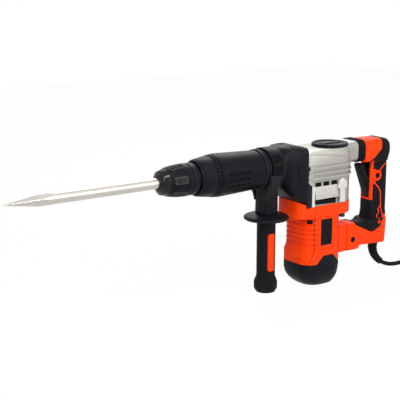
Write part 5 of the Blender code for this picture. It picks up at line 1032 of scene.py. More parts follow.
    def plug(self, shop: Workshop, rear: Vector) -> list[bpy.types.Object]:
        """Turn the plug's body with finger rings, and its two pins.

        Args:
            shop: The workshop that finishes pieces.
            rear: Where the lead enters it.

        Returns:
            The plug's body and its pair of pins.
        """
        radius = self.plug_diameter / 2
        length = self.plug_length
        profile = [(0.0, 0.0), (0.0, 0.0068), (0.001, 0.0078)]
        for i in range(1, 25):
            share = i / 24
            swell = 0.0078 + (radius * 0.98 - 0.0078) * (0.5 - 0.5 * math.cos(math.pi * share ** 0.8))
            ring = 0.0006 * math.sin(math.tau * share * 6) * (share < 0.9)
            profile.append((0.001 + share * length * 0.7, swell + ring))
        profile += [(length * 0.76, radius), (length - 0.0012, radius), (length, radius - 0.0012), (length, 0.0)]
        body = shop.piece("mains_plug_body", Form.turned(profile, Axis.X, rear, 48, False), Palette.RUBBER,
                          "rear_handle", ("mains_plug",))
        pin = self.pin_diameter / 2
        shape = [(length * 0.9, 0.0), (length * 0.9, pin), (length + self.pin_length - pin, pin),
                 (length + self.pin_length - pin * 0.3, pin * 0.72), (length + self.pin_length, 0.0)]
        pins = [Form.turned(shape, Axis.X, rear + Vector((0.0, side * self.pin_spacing / 2, 0.0)), 20, False)
                for side in (-1, 1)]
        return [body, shop.piece("plug_pins", Form.joined(pins), Palette.BRASS, "rear_handle")]

    def tie(self, shop: Workshop) -> bpy.types.Object:
        """Wrap the rubber tie round the coil's turns.

        Args:
            shop: The workshop that finishes pieces.

        Returns:
            The tie.
        """
        return shop.refined("cord_tie", Palette.RUBBER, "rear_handle", 0.0006)


@dataclass
class ChiselPoint:
    """Bull-point chisel: round shank, four ground facets that run out to the point."""

    tip: float = -0.267
    shank_end: float = 0.083
    radius: float = 0.009
    point_length: float = 0.082
    tip_half: float = 0.0008
    turn: float = math.radians(26.0)
    groove: tuple[float, float] = (0.046, 0.070)
    groove_half: float = 0.004
    groove_depth: float = 0.0024

    def reach(self, along: float, radius: float, angle: float) -> float:
        """Cut the four facets and the two shank grooves out of the round bar.

        Args:
            along: Place along the bar.
            radius: The bar's own radius there.
            angle: Angle round the bar.

        Returns:
            The radius that is left.
        """
        share = (along - self.tip) / self.point_length
        if share < 1.05:
            half = self.tip_half + (self.radius - self.tip_half) * max(share, 0.0)
            off = (angle - self.turn + math.pi / 4) % (math.pi / 2) - math.pi / 4
            facet = half / math.cos(off)
            blend = 0.00025
            sink = max(0.0, 0.5 + 0.5 * (radius - facet) / blend)
            if sink >= 1.0:
                return facet
            mixed = radius + (facet - radius) * min(sink, 1.0)
            return min(radius, mixed - blend * sink * (1.0 - sink))
        if self.groove[0] < along < self.groove[1] and abs(math.sin(angle)) * radius < self.groove_half:
            return min(radius, (radius - self.groove_depth) / abs(math.cos(angle)))
        return radius

    def build(self, shop: Workshop) -> None:
        """Make the chisel.

        Args:
            shop: The workshop that finishes pieces.
        """
        front = self.tip + self.point_length
        places = [self.tip + self.point_length * 1.04 * i / 70 for i in range(71)]
        places += [front + 0.006, front + 0.05, 0.0, self.groove[0] - 0.0001, self.groove[0] + 0.0001,
                   self.groove[1] - 0.0001, self.groove[1] + 0.0001, self.shank_end - 0.0015]
        profile = [(place, self.radius) for place in places] + [(self.shank_end, self.radius - 0.0015)]
        shop.piece("chisel_ground", Form.turned(profile, Axis.X, Vector(), 120, False, self.reach), Palette.CHROME,
                   "chisel", ("chisel",), angle=math.radians(24.0))


@dataclass
class Nose:
    """Dust lip, scalloped locking sleeve with its grip pads, and the sleeve's spring."""

    front: float = 0.0045
    rear: float = 0.068
    cone_end: float = 0.0125
    front_radius: float = 0.01975
    cone_radius: float = 0.0222
    bore: float = 0.0183
    chamber: float = 0.0218
    seat: float = 0.045
    swell: tuple[tuple[float, float], ...] = (
        (0.0129, 0.0224), (0.0160, 0.0233), (0.0200, 0.0243), (0.0260, 0.0255), (0.0330, 0.0264), (0.0410, 0.0270),
        (0.0490, 0.0272), (0.0536, 0.0271))
    groove: tuple[float, float] = (0.0540, 0.0568)
    groove_depth: float = 0.0012
    rear_radius: float = 0.0268
    scallops: int = 6
    scallop_turn: float = math.radians(16.0)
    scallop_depth: float = 0.0003
    pads: int = 6
    pad_turn: float = math.radians(-12.0)
    pad_span: tuple[float, float] = (0.0200, 0.0440)
    pad_width: float = 0.0128
    pad_rise: float = 0.0004
    pad_lines: int = 8
    lip: tuple[tuple[float, float], ...] = (
        (0.0110, 0.0094), (0.0008, 0.0094), (0.0002, 0.0100), (0.0, 0.0112), (0.0004, 0.0130), (0.0014, 0.0151),
        (0.0028, 0.0168), (0.0040, 0.0177), (0.0052, 0.0180), (0.0110, 0.0180))
    spring_radius: float = 0.0203
    spring_wire: float = 0.0016
    spring_turns: int = 5
    spring_span: tuple[float, float] = (0.0461, 0.0759)

    def reach(self, along: float, radius: float, angle: float) -> float:
        """Press the finger scallops into the cone.

        Args:
            along: Place along the sleeve.
            radius: The plain radius there.
            angle: Angle round the sleeve.

        Returns:
            The radius with its scallops.
        """
        if radius < self.bore + 0.0006:
            return radius
        pitch = math.tau / self.scallops
        off = abs((angle - self.scallop_turn + pitch / 2) % pitch - pitch / 2) / (pitch / 2)
        share = (along - self.front) / (self.cone_end - self.front)
        depth = self.scallop_depth * math.sin(math.pi * min(1.0, max(0.0, share * 0.8 + 0.2)))
        return max(self.bore + 0.0007, radius - depth * max(0.0, 1.0 - (off / 0.9) ** 2))

    def width(self, along: float) -> float:
        """Give the sleeve's radius at a place along it.

        Args:
            along: Place along the sleeve.

        Returns:
            The radius between the two nearest points of its swell.
        """
        for (low, start), (high, end) in zip(self.swell, self.swell[1:]):
            if along <= high:
                return start + (end - start) * max(0.0, along - low) / (high - low)
        return self.swell[-1][1]

    def build(self, shop: Workshop) -> None:
        """Make the nose's pieces.

        Args:
            shop: The workshop that finishes pieces.
        """
        self.cone_part(shop)
        self.body_part(shop)
        self.grips(shop)
        shop.piece("dust_lip", Form.turned(self.lip, Axis.X, Vector(), 96), Palette.GLOSS, "body", ("dust_seal",))
        shop.refined("tool_holder", Palette.DARK, "body", 0.0005)
        self.spring(shop)

    def cone_part(self, shop: Workshop) -> None:
        """Turn the polished cone with its finger scallops.

        Args:
            shop: The workshop that finishes pieces.
        """
        rise = self.cone_radius - self.front_radius
        profile = [(self.front, self.bore), (self.front, self.front_radius - 0.0008),
                   (self.front + 0.0003, self.front_radius - 0.0002)]
        for i in range(1, 25):
            share = i / 24
            profile.append((self.front + (self.cone_end - self.front) * share,
                            self.front_radius + rise * math.sin(share * 1.2) / math.sin(1.2)))
        profile.append((self.cone_end, self.bore))
        cone = Form.turned(profile, Axis.X, Vector(), 240, True, self.reach)
        shop.piece("sleeve_cone_scalloped", cone, Palette.GLOSS, "locking_sleeve", ("locking_sleeve",))

    def body_part(self, shop: Workshop) -> None:
        """Turn the sleeve's grip body with its rear groove.

        Args:
            shop: The workshop that finishes pieces.
        """
        low, high = self.groove
        wide = self.swell[-1][1]
        profile = [(self.cone_end, self.bore), (self.cone_end, self.cone_radius - 0.0001)]
        profile += list(self.swell)
        profile += [(low, wide - self.groove_depth), (high, wide - self.groove_depth),
                    (high + 0.0005, self.rear_radius),
                    (self.rear - 0.0010, self.rear_radius), (self.rear - 0.0003, self.rear_radius - 0.0004),
                    (self.rear, self.rear_radius - 0.0012), (self.rear, self.chamber), (self.seat, self.chamber),
                    (self.seat, self.bore)]
        shop.piece("sleeve_body", Form.turned(profile, Axis.X, Vector(), 120), Palette.BLACK, "locking_sleeve")

    def grips(self, shop: Workshop) -> None:
        """Raise the lined grip pads round the sleeve.

        Args:
            shop: The workshop that finishes pieces.
        """
        start, end = self.pad_span
        length, middle = end - start, (start + end) / 2
        parts = [self.curved(middle, length, self.pad_width, 0.0014, self.pad_rise)]
        line = self.curved(start + 0.0018, 0.0014, self.pad_width - 0.0026, 0.0004, self.pad_rise + 0.0006)
        gap = (length - 0.0036) / (self.pad_lines - 1)
        climb = (self.width(end) - self.width(start)) / (self.pad_lines - 1)
        parts.append(Repeater.repeat(line, self.pad_lines, Palette.PAD, step=(gap, 0.0, climb)))
        unit = Form.joined(parts)
        bmesh.ops.rotate(unit, verts=unit.verts[:], matrix=Matrix.Rotation(math.radians(90.0) + self.pad_turn, 3, "X"))
        whole = Repeater.repeat(unit, self.pads, Palette.PAD, turn=(math.tau / self.pads, 0.0, 0.0))
        shop.piece("sleeve_grip_pads", whole, Palette.PAD, "locking_sleeve")

    def curved(self, middle: float, length: float, width: float, corner: float, rise: float) -> bmesh.types.BMesh:
        """Raise a pad that follows the sleeve's swell, on its upper side.

        Args:
            middle: Middle of the pad along the sleeve.
            length: Its length.
            width: Its width round the sleeve.
            corner: Radius of its corners.
            rise: How far it stands off the sleeve.

        Returns:
            The closed bmesh.
        """
        rings = []
        for lift, draw in ((-0.0010, 0.0), (rise * 0.4, 0.0), (rise * 0.85, 0.25), (rise, 0.8)):
            shrink = min(corner, 0.0006) * draw
            outline = Form.rounded(length - 2 * shrink, width - 2 * shrink, corner - shrink * 0.9, 4)
            ring = []
            for a, b in Form.filled(outline):
                radius = self.width(middle + a) + lift
                ring.append(Vector((middle + a, radius * math.sin(b / radius), radius * math.cos(b / radius))))
            rings.append(ring)
        return Form.skin(rings)

    def spring(self, shop: Workshop) -> None:
        """Wind the sleeve's return spring.

        Args:
            shop: The workshop that finishes pieces.
        """
        low, high = self.spring_span
        points = []
        for i in range(self.spring_turns * 24 + 1):
            share = i / (self.spring_turns * 24)
            angle = math.tau * self.spring_turns * share
            points.append(Vector((low + (high - low) * share, self.spring_radius * math.cos(angle),
                                  self.spring_radius * math.sin(angle))))
        wire = Form.tube(points, [self.spring_wire / 2] * len(points), 10)
        made = shop.piece("sleeve_spring_wound", wire, Palette.DARK, "body", ("sleeve_spring",))
        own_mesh(made)


@dataclass
class Barrel:
    """Collar, notched and grooved barrel sleeve and the ridged neck behind it."""

    collar: tuple[tuple[float, float], ...] = (
        (0.0712, 0.0276), (0.0708, 0.0280), (0.0708, 0.0287), (0.0718, 0.0297), (0.0736, 0.0308), (0.0741, 0.0308),
        (0.0744, 0.0301), (0.0752, 0.0301), (0.0756, 0.0311), (0.0765, 0.0314), (0.0975, 0.0345), (0.0984, 0.0343),
        (0.0988, 0.0336))
    recess: float = 0.0786
    bore: float = 0.0183
    sleeve: tuple[tuple[float, float], ...] = (
        (0.0998, 0.0338), (0.1000, 0.0346), (0.1006, 0.0352), (0.1022, 0.0355), (0.1098, 0.0362), (0.1163, 0.0368),
        (0.1950, 0.0336), (0.1978, 0.0333), (0.1983, 0.0322))
    sleeve_bore: float = 0.025
    step: float = 0.1163
    notches: int = 36
    notch_span: tuple[float, float] = (0.1026, 0.1086)
    notch_half: float = 0.0017
    notch_depth: float = 0.0014
    groove_span: tuple[float, float] = (0.118, 0.1665)
    groove_half: float = 0.0019
    groove_depth: float = 0.0018
    groove_angles: tuple[float, ...] = (171.5, 188.5, 205.5, 8.5, -8.5, -25.5)
    # How far the painted-shade floors stand above the cuts' floors.
    inlay: float = 0.0005
    neck: tuple[float, float] = (0.1986, 0.2877)
    neck_bore: float = 0.0223
    ridge_radius: float = 0.035
    neck_radius: float = 0.033
    seat_radius: float = 0.03125
    seat_front: float = 0.21295

    def width(self, along: float) -> float:
        """Give the sleeve's plain radius at a place along it.

        Args:
            along: Place along the sleeve.

        Returns:
            The radius between the two nearest points of its profile.
        """
        for (low, start), (high, end) in zip(self.sleeve, self.sleeve[1:]):
            if along <= high:
                return start + (end - start) * max(0.0, along - low) / (high - low)
        return self.sleeve[-1][1]

    def reach(self, along: float, radius: float, angle: float) -> float:
        """Sink the front notches and the long grooves into the sleeve.

        Args:
            along: Place along the sleeve.
            radius: The plain radius there.
            angle: Angle round the sleeve.

        Returns:
            The radius with what is cut.
        """
        if radius < self.sleeve_bore + 0.004:
            return radius
        low, high = self.notch_span
        if low <= along <= high:
            pitch = math.tau / self.notches
            across = abs((angle + pitch / 2) % pitch - pitch / 2) * radius
            return radius - self.notch_depth * (across < self.notch_half)
        low, high = self.groove_span
        ends = min(1.0, (along - low) / 0.0012, (high - along) / 0.0012)
        for middle in self.groove_angles:
            off = (angle - math.radians(middle) + math.pi) % math.tau - math.pi
            if abs(off) * radius < self.groove_half and ends > 0.0:
                return radius - self.groove_depth * ends
        return radius

    def build(self, shop: Workshop) -> None:
        """Make the barrel's pieces.

        Args:
            shop: The workshop that finishes pieces.
        """
        self.collar_ring(shop)
        self.sleeve_shell(shop)
        self.floors(shop)
        self.neck_ring(shop)

    def collar_ring(self, shop: Workshop) -> None:
        """Turn the collar, whose front takes in the locking sleeve's rim.

        Args:
            shop: The workshop that finishes pieces.
        """
        mouth, rear = self.collar[0][1], self.collar[-1][0]
        profile = [*self.collar, (rear, self.bore), (self.recess, self.bore), (self.recess, mouth)]
        shop.piece("front_collar_turned", Form.turned(profile, Axis.X, Vector(), 120), Palette.BLACK, "body",
                   ("front_collar",))

    def sleeve_shell(self, shop: Workshop) -> None:
        """Turn the tapered sleeve with its front notches and flank grooves.

        Args:
            shop: The workshop that finishes pieces.
        """
        front, rear = self.sleeve[0][0], self.sleeve[-1][0]
        places = {place for place, _ in self.sleeve} | {0.1163 + 0.0065 * i for i in range(1, 13)}
        for span in (self.notch_span, self.groove_span):
            places |= {edge + side for edge in span for side in (0.0, 0.0002, -0.0002)}
        places |= {self.groove_span[0] + 0.0013, self.groove_span[1] - 0.0013}
        profile = [(place, self.width(place)) for place in sorted(places)]
        profile += [(rear, self.sleeve_bore), (self.step, self.sleeve_bore), (self.step, self.bore),
                    (front, self.bore)]
        shell = Form.turned(profile, Axis.X, Vector(), self.notches * 12, True, self.reach)
        shop.piece("barrel_sleeve_grooved", shell, Palette.BLACK, "body", ("barrel_sleeve",))

    def floors(self, shop: Workshop) -> None:
        """Lay dark floors of painted shade into the notches and the long grooves.

        Args:
            shop: The workshop that finishes pieces.
        """
        low, high = self.notch_span
        unit = self.inset(low + 0.0003, high - 0.0003, self.notch_half - 0.0003, self.notch_depth)
        parts = [Repeater.repeat(unit, self.notches, Palette.DEEP_BLACK_AND_PAINTED_SHADE, turn=(math.tau / self.notches, 0.0, 0.0))]
        low, high = self.groove_span
        for angle in self.groove_angles:
            bar = self.inset(low + 0.0014, high - 0.0014, self.groove_half - 0.0004, self.groove_depth)
            bmesh.ops.rotate(bar, verts=bar.verts[:], matrix=Matrix.Rotation(math.radians(angle), 3, "X"))
            parts.append(bar)
        shop.piece("sleeve_cut_painted_shade", Form.joined(parts), Palette.DEEP_BLACK_AND_PAINTED_SHADE, "body")

    def inset(self, low: float, high: float, half: float, depth: float) -> bmesh.types.BMesh:
        """Make a thin bar of painted shade that lies on the floor of a cut, on the side that angles start from.

        Args:
            low: Its front end.
            high: Its rear end.
            half: Half its width.
            depth: How deep the cut's floor lies.

        Returns:
            The closed bmesh.
        """
        rings = []
        for along in (low, low + 0.0004, (low + high) / 2, high - 0.0004, high):
            top = self.width(along) - depth + self.inlay
            rings.append([Vector((along, level, across)) for level, across in (
                (top - 0.001, -half), (top, -half), (top, half), (top - 0.001, half))])
        return Form.skin(rings)

    def neck_ring(self, shop: Workshop) -> None:
        """Turn the neck with its ridges and the seat of the handle's band.

        Args:
            shop: The workshop that finishes pieces.
        """
        front, rear = self.neck
        ridge, plain = self.ridge_radius, self.neck_radius
        profile = [(front, self.neck_bore), (front, ridge - 0.001), (front + 0.0008, ridge),
                   (front + 0.0044, ridge), (front + 0.005, ridge - 0.0006), (front + 0.0054, plain - 0.0004),
                   (front + 0.0078, plain - 0.0004), (front + 0.0082, plain + 0.0002),
                   (front + 0.0128, plain + 0.0002), (self.seat_front - 0.0003, plain - 0.0006),
                   (self.seat_front, self.seat_radius), (rear, self.seat_radius), (rear, self.neck_bore)]
        shop.piece("barrel_neck_ridged", Form.turned(profile, Axis.X, Vector(), 120), Palette.BLACK, "body",
                   ("barrel_neck",))


@dataclass
class SideHandle:
    """Band and bracket, dished flange and the grip with its orange inlay."""

    x: float = 0.2265
    band: tuple[float, float] = (0.21325, 0.23975)
    band_radius: float = 0.03655
    window: tuple[float, float] = (0.2150, 0.2335)
    window_turn: tuple[float, float] = (math.radians(-14.0), math.radians(46.0))
    stud_angle: float = math.radians(18.0)
    slot_z: float = -0.057
    wing: tuple[tuple[float, float, float, float, float], ...] = (
        (-0.0075, 0.2065, 0.2300, 0.0338, 0.0372), (-0.0200, 0.2085, 0.2290, 0.0300, 0.0362),
        (-0.0340, 0.2110, 0.2280, 0.0215, 0.0300), (-0.0460, 0.2122, 0.2270, 0.0165, 0.0225),
        (-0.0580, 0.2121, 0.2262, 0.0160, 0.0173))
    wing_edge: float = 0.0008

    def build(self, shop: Workshop) -> None:
        """Make the side handle's pieces.

        Args:
            shop: The workshop that finishes pieces.
        """
        shop.refined("side_bracket", Palette.BLACK, "side_clamp", 0.0012)
        shop.refined("grip_flange", Palette.BLACK, "side_handle", 0.0014)
        shop.refined("side_grip", Palette.RUBBER, "side_handle", 0.0012)
        shop.refined("grip_inlay", Palette.ORANGE, "side_handle", 0.0005)
        for side, name in ((-1, "left"), (1, "right")):
            self.clamp_window(shop, side, name)
            shop.piece("bracket_wing_" + name, self.gusset(side), Palette.BLACK, "side_clamp")
        # The slot in the bracket's neck is a dark patch of painted shade.
        front = Drape(shop, ("side_bracket",), Axis.X, -1)
        slot = front.patch([(a, self.slot_z + b) for a, b in Form.rounded(0.0095, 0.0013, 0.0005, 3)], 0.00012, 0.0003)
        shop.piece("neck_slot_painted_shade", slot, Palette.DEEP_BLACK_AND_PAINTED_SHADE, "side_clamp")

    def gusset(self, side: int) -> bmesh.types.BMesh:
        """Loft the wing that runs from the band's flank down to the neck.

        Args:
            side: Sign of the flank.

        Returns:
            The closed bmesh.
        """
        rings = []
        for z, front, rear, inner, outer in self.wing:
            edge = min(self.wing_edge, (outer - inner) / 2)
            ring = ((front, inner), (rear, inner), (rear, outer - edge), (rear - edge, outer), (front + edge, outer),
                    (front, outer - edge))
            rings.append([Vector((x, side * y, z)) for x, y in ring])
        return Form.skin(rings)

    def clamp_window(self, shop: Workshop, side: int, name: str) -> None:
        """Set the window, a dark sheet of painted shade, and its three studs on the band's flank.

        Args:
            shop: The workshop that finishes pieces.
            side: Sign of the flank.
            name: Name of the flank.
        """
        low, high = self.window
        start, end = self.window_turn
        rings = []
        # The window's dark sheet is painted shade.
        for radius, draw in ((self.band_radius - 0.0008, 0.0), (self.band_radius + 0.00025, 0.0),
                             (self.band_radius + 0.00045, 0.0006)):
            ring = []
            turn = draw / radius
            for i in range(17):
                angle = start + turn + (end - start - 2 * turn) * i / 16
                ring.append(self.spot(low + draw, radius, angle, side))
            for i in range(17):
                angle = end - turn - (end - start - 2 * turn) * i / 16
                ring.append(self.spot(high - draw, radius, angle, side))
            rings.append(ring)
        shop.piece("clamp_window_" + name, Form.skin(rings), Palette.DEEP_BLACK_AND_PAINTED_SHADE, "side_clamp")
        middle = (low + high) / 2
        studs = []
        for k in (-1, 0, 1):
            at = self.spot(middle + 0.0050 * k, self.band_radius, self.stud_angle, side)
            out = Vector((0.0, at.y, at.z)).normalized()
            studs.append(Form.tube([at - out * 0.0006, at + out * 0.0007, at + out * 0.0011],
                                   [0.0011, 0.0011, 0.0007], 14))
        shop.piece("clamp_studs_" + name, Form.joined(studs), Palette.DARK, "side_clamp")

    @staticmethod
    def spot(along: float, radius: float, angle: float, side: int) -> Vector:
        """Give the point at an angle above the flank of the band."""
        return Vector((along, side * radius * math.cos(angle), radius * math.sin(angle)))


@dataclass
class FrontCover:
    """Black cover in front of the gear case, with painted shade as its vents' dark floors."""

    rear: float = 0.2877
    wall: float = 0.004
    top: float = 0.0355
    vents: int = 4
    vent_pitch: float = 0.0065
    vent_width: float = 0.003
    vent_reach: tuple[float, float] = (0.0085, 0.0310)
    wing: tuple[tuple[float, float], ...] = (
        (0.2979, -0.0360), (0.2868, -0.0262), (0.2868, -0.0742), (0.2979, -0.0742))
    bump: tuple[tuple[float, float], ...] = (
        (0.2911, -0.0012), (0.2868, 0.0012), (0.2868, -0.0118), (0.2911, -0.0095))
    flank: float = 0.0362
    wing_rise: float = 0.0021

    def build(self, shop: Workshop) -> None:
        """Make the front cover's pieces.

        Args:
            shop: The workshop that finishes pieces.
        """
        shop.refined("front_cover", Palette.BLACK, "body", 0.0014)
        near, far = self.vent_reach
        first = self.rear - self.wall - self.vent_pitch / 2
        rows = []
        for side in (-1, 1):
            middle = side * (near + far) / 2
            outline = [(first + a, middle + b)
                       for a, b in Form.rounded(self.vent_width - 0.0002, far - near, 0.0006, 3)]
            # A dark sheet of painted shade on each vent's floor.
            floor = Form.prism(outline, self.top - 0.0043, self.top - 0.0036, Axis.Z)
            rows.append(Repeater.repeat(floor, self.vents, Palette.DEEP_BLACK_AND_PAINTED_SHADE, step=(-self.vent_pitch, 0.0, 0.0)))
        shop.piece("vent_painted_shade_floors", Form.joined(rows), Palette.DEEP_BLACK_AND_PAINTED_SHADE, "body")
        for side, name in ((-1, "left"), (1, "right")):
            parts = [Form.pillow(outline, side * self.flank, side * self.wing_rise, 0.0006, Axis.Y)
                     for outline in (self.wing, self.bump)]
            shop.piece("cover_flank_" + name, Form.joined(parts), Palette.BLACK, "body", angle=math.radians(40.0))


@dataclass
class GearCase:
    """Cast gear case: ribs, grille with its louvre, bright post, cap with a grip bar."""

    front: float = 0.288
    half: float = 0.037
    grille: tuple[float, float] = (0.305, 0.361)
    grille_top: float = -0.029
    grille_depth: float = 0.002
    holes: int = 3
    hole_size: tuple[float, float] = (0.0135, 0.0075)
    hole_z: float = -0.0349
    slot: tuple[tuple[float, float], ...] = ((0.3550, -0.0655), (0.3078, -0.0620), (0.3078, -0.0702), (0.3550, -0.0722))
    ribs: tuple[tuple[float, float, float], ...] = (
        (0.3048, -0.0034, 0.0042), (0.2915, -0.0142, 0.0040), (0.2915, -0.0230, 0.0040))
    rib_end: float = 0.3985
    rib_rise: float = 0.0021
    rib_bridge: float = 0.002
    rib_angle: float = math.radians(55.0)
    crease_width: float = 0.0030
    crease_rise: float = 0.0004
    strip_middle: tuple[float, float] = (0.3012, -0.0548)
    strip_size: tuple[float, float, float] = (0.0066, 0.0375, 0.0010)
    strip_rise: float = 0.0020
    lug_middle: tuple[float, float] = (0.2985, -0.0030)
    lug_size: tuple[float, float, float] = (0.0135, 0.0072, 0.0014)
    lug_rise: float = 0.0036
    pad_sink: float = 0.0008
    crease: tuple[tuple[float, float], ...] = ((0.2892, 0.0215), (0.3740, 0.0115), (0.3950, 0.0100))
    post_x: float = 0.3683
    post_rise: float = 0.003
    post_foot: float = -0.0725
    louvre: tuple[float, float] = (-0.0388, -0.0615)

    def build(self, shop: Workshop) -> None:
        """Make the gear case's pieces.

        Args:
            shop: The workshop that finishes pieces.
        """
        shop.refined("gear_housing", Palette.CAST, "body", 0.0010)
        shop.refined("top_cap", Palette.BLACK, "body", 0.0008)
        for side, name in ((-1, "left"), (1, "right")):
            self.openings(shop, side, name)
            self.ridges(shop, side, name)
            self.louvre_shelf(shop, side, name)
            self.post(shop, side, name)

    def openings(self, shop: Workshop, side: int, name: str) -> None:
        """Lay painted shade as dark sheets in the grille's three holes and the slot below them.

        Args:
            shop: The workshop that finishes pieces.
            side: Sign of the flank.
            name: Name of the flank.
        """
        low, high = self.grille
        gap = (high - low) / self.holes
        # Each hole and the slot get a dark sheet of painted shade.
        outline = [(low + gap / 2 + a, self.hole_z + b) for a, b in Form.rounded(*self.hole_size, 0.0008, 3)]
        hole = Form.pillow(outline, side * (self.half - self.grille_depth - 0.0005), side * 0.0008, 0.0002, Axis.Y)
        rows = [Repeater.repeat(hole, self.holes, Palette.DEEP_BLACK_AND_PAINTED_SHADE, step=(gap, 0.0, 0.0))]
        rows.append(Form.pillow(self.slot, side * (self.half - 0.0040), side * 0.0043, 0.0002, Axis.Y))
        shop.piece("grille_painted_shade_" + name, Form.joined(rows), Palette.DEEP_BLACK_AND_PAINTED_SHADE, "body")

    def ridges(self, shop: Workshop, side: int, name: str) -> None:
        """Lay the bold ribs and the crease above them along the flank.

        Args:
            shop: The workshop that finishes pieces.
            side: Sign of the flank.
            name: Name of the flank.
        """
        case = Drape(shop, ("gear_housing",), Axis.Y, side)
        lines = [case.ribbon([(near, z), (self.rib_end, z)], width, self.rib_rise, bridge=self.rib_bridge)
                 for near, z, width in self.ribs]
        lines.append(case.ribbon(self.crease, self.crease_width, self.crease_rise))
        shop.piece("case_ribs_" + name, Form.joined(lines), Palette.CAST, "body", angle=self.rib_angle)

    def louvre_shelf(self, shop: Workshop, side: int, name: str) -> None:
        """Slant the louvre's shelf out of the grille's floor, between two bright strips.

        Args:
            shop: The workshop that finishes pieces.
            side: Sign of the flank.
            name: Name of the flank.
        """
        low, high = self.grille
        top, foot = self.louvre
        base = self.half - self.grille_depth
        profile = [(side * (base - 0.0006), top), (side * (base + 0.0003), top),
                   (side * (self.half + 0.0016), foot + 0.002),
                   (side * (self.half + 0.0018), foot + 0.0008), (side * (self.half + 0.0010), foot),
                   (side * (base - 0.0006), foot)]
        shelf = Form.prism(profile, low + 0.0015, high - 0.0003, Axis.X)
        shop.piece("louvre_" + name, shelf, Palette.CAST, "body", angle=math.radians(20.0))
        x, z = self.strip_middle
        strip = [(x + a, z + b) for a, b in Form.rounded(*self.strip_size, 3)]
        bar = Form.pillow(strip, side * (self.half - self.pad_sink), side * self.strip_rise, 0.0005, Axis.Y)
        shop.piece("case_strip_" + name, bar, Palette.MACHINED, "body")
        x, z = self.lug_middle
        lug = [(x + a, z + b) for a, b in Form.rounded(*self.lug_size, 4)]
        pad = Form.pillow(lug, side * (self.half - self.pad_sink), side * self.lug_rise, 0.0007, Axis.Y)
        shop.piece("case_lug_" + name, pad, Palette.CAST, "body")

    def post(self, shop: Workshop, side: int, name: str) -> None:
        """Stand the bright arrow-topped post behind the grille.

        Args:
            shop: The workshop that finishes pieces.
            side: Sign of the flank.
            name: Name of the flank.
        """
        wing, stem = 0.0098, 0.0058
        top = self.grille_top + 0.0006
        outline = [(-stem, self.post_foot + 0.001), (stem, self.post_foot + 0.001), (stem, top - 0.0175),
                   (wing, top - 0.0175), (wing, top - 0.0075), (0.0015, top), (-0.0015, top), (-wing, top - 0.0075),
                   (-wing, top - 0.0175), (-stem, top - 0.0175)]
        face = side * (self.half + self.post_rise)
        rings = []
        for level, draw in ((-0.0042, 0.0), (0.0002, 0.0), (0.0007, 0.05)):
            rings.append([Vector((self.post_x + a * (1.0 - draw), face + side * level,
                                  b if draw == 0.0 else b + math.copysign(0.0004, -0.05 - b))) for a, b in outline])
        shop.piece("case_post_" + name, Form.skin(rings), Palette.MACHINED, "body", angle=math.radians(25.0))


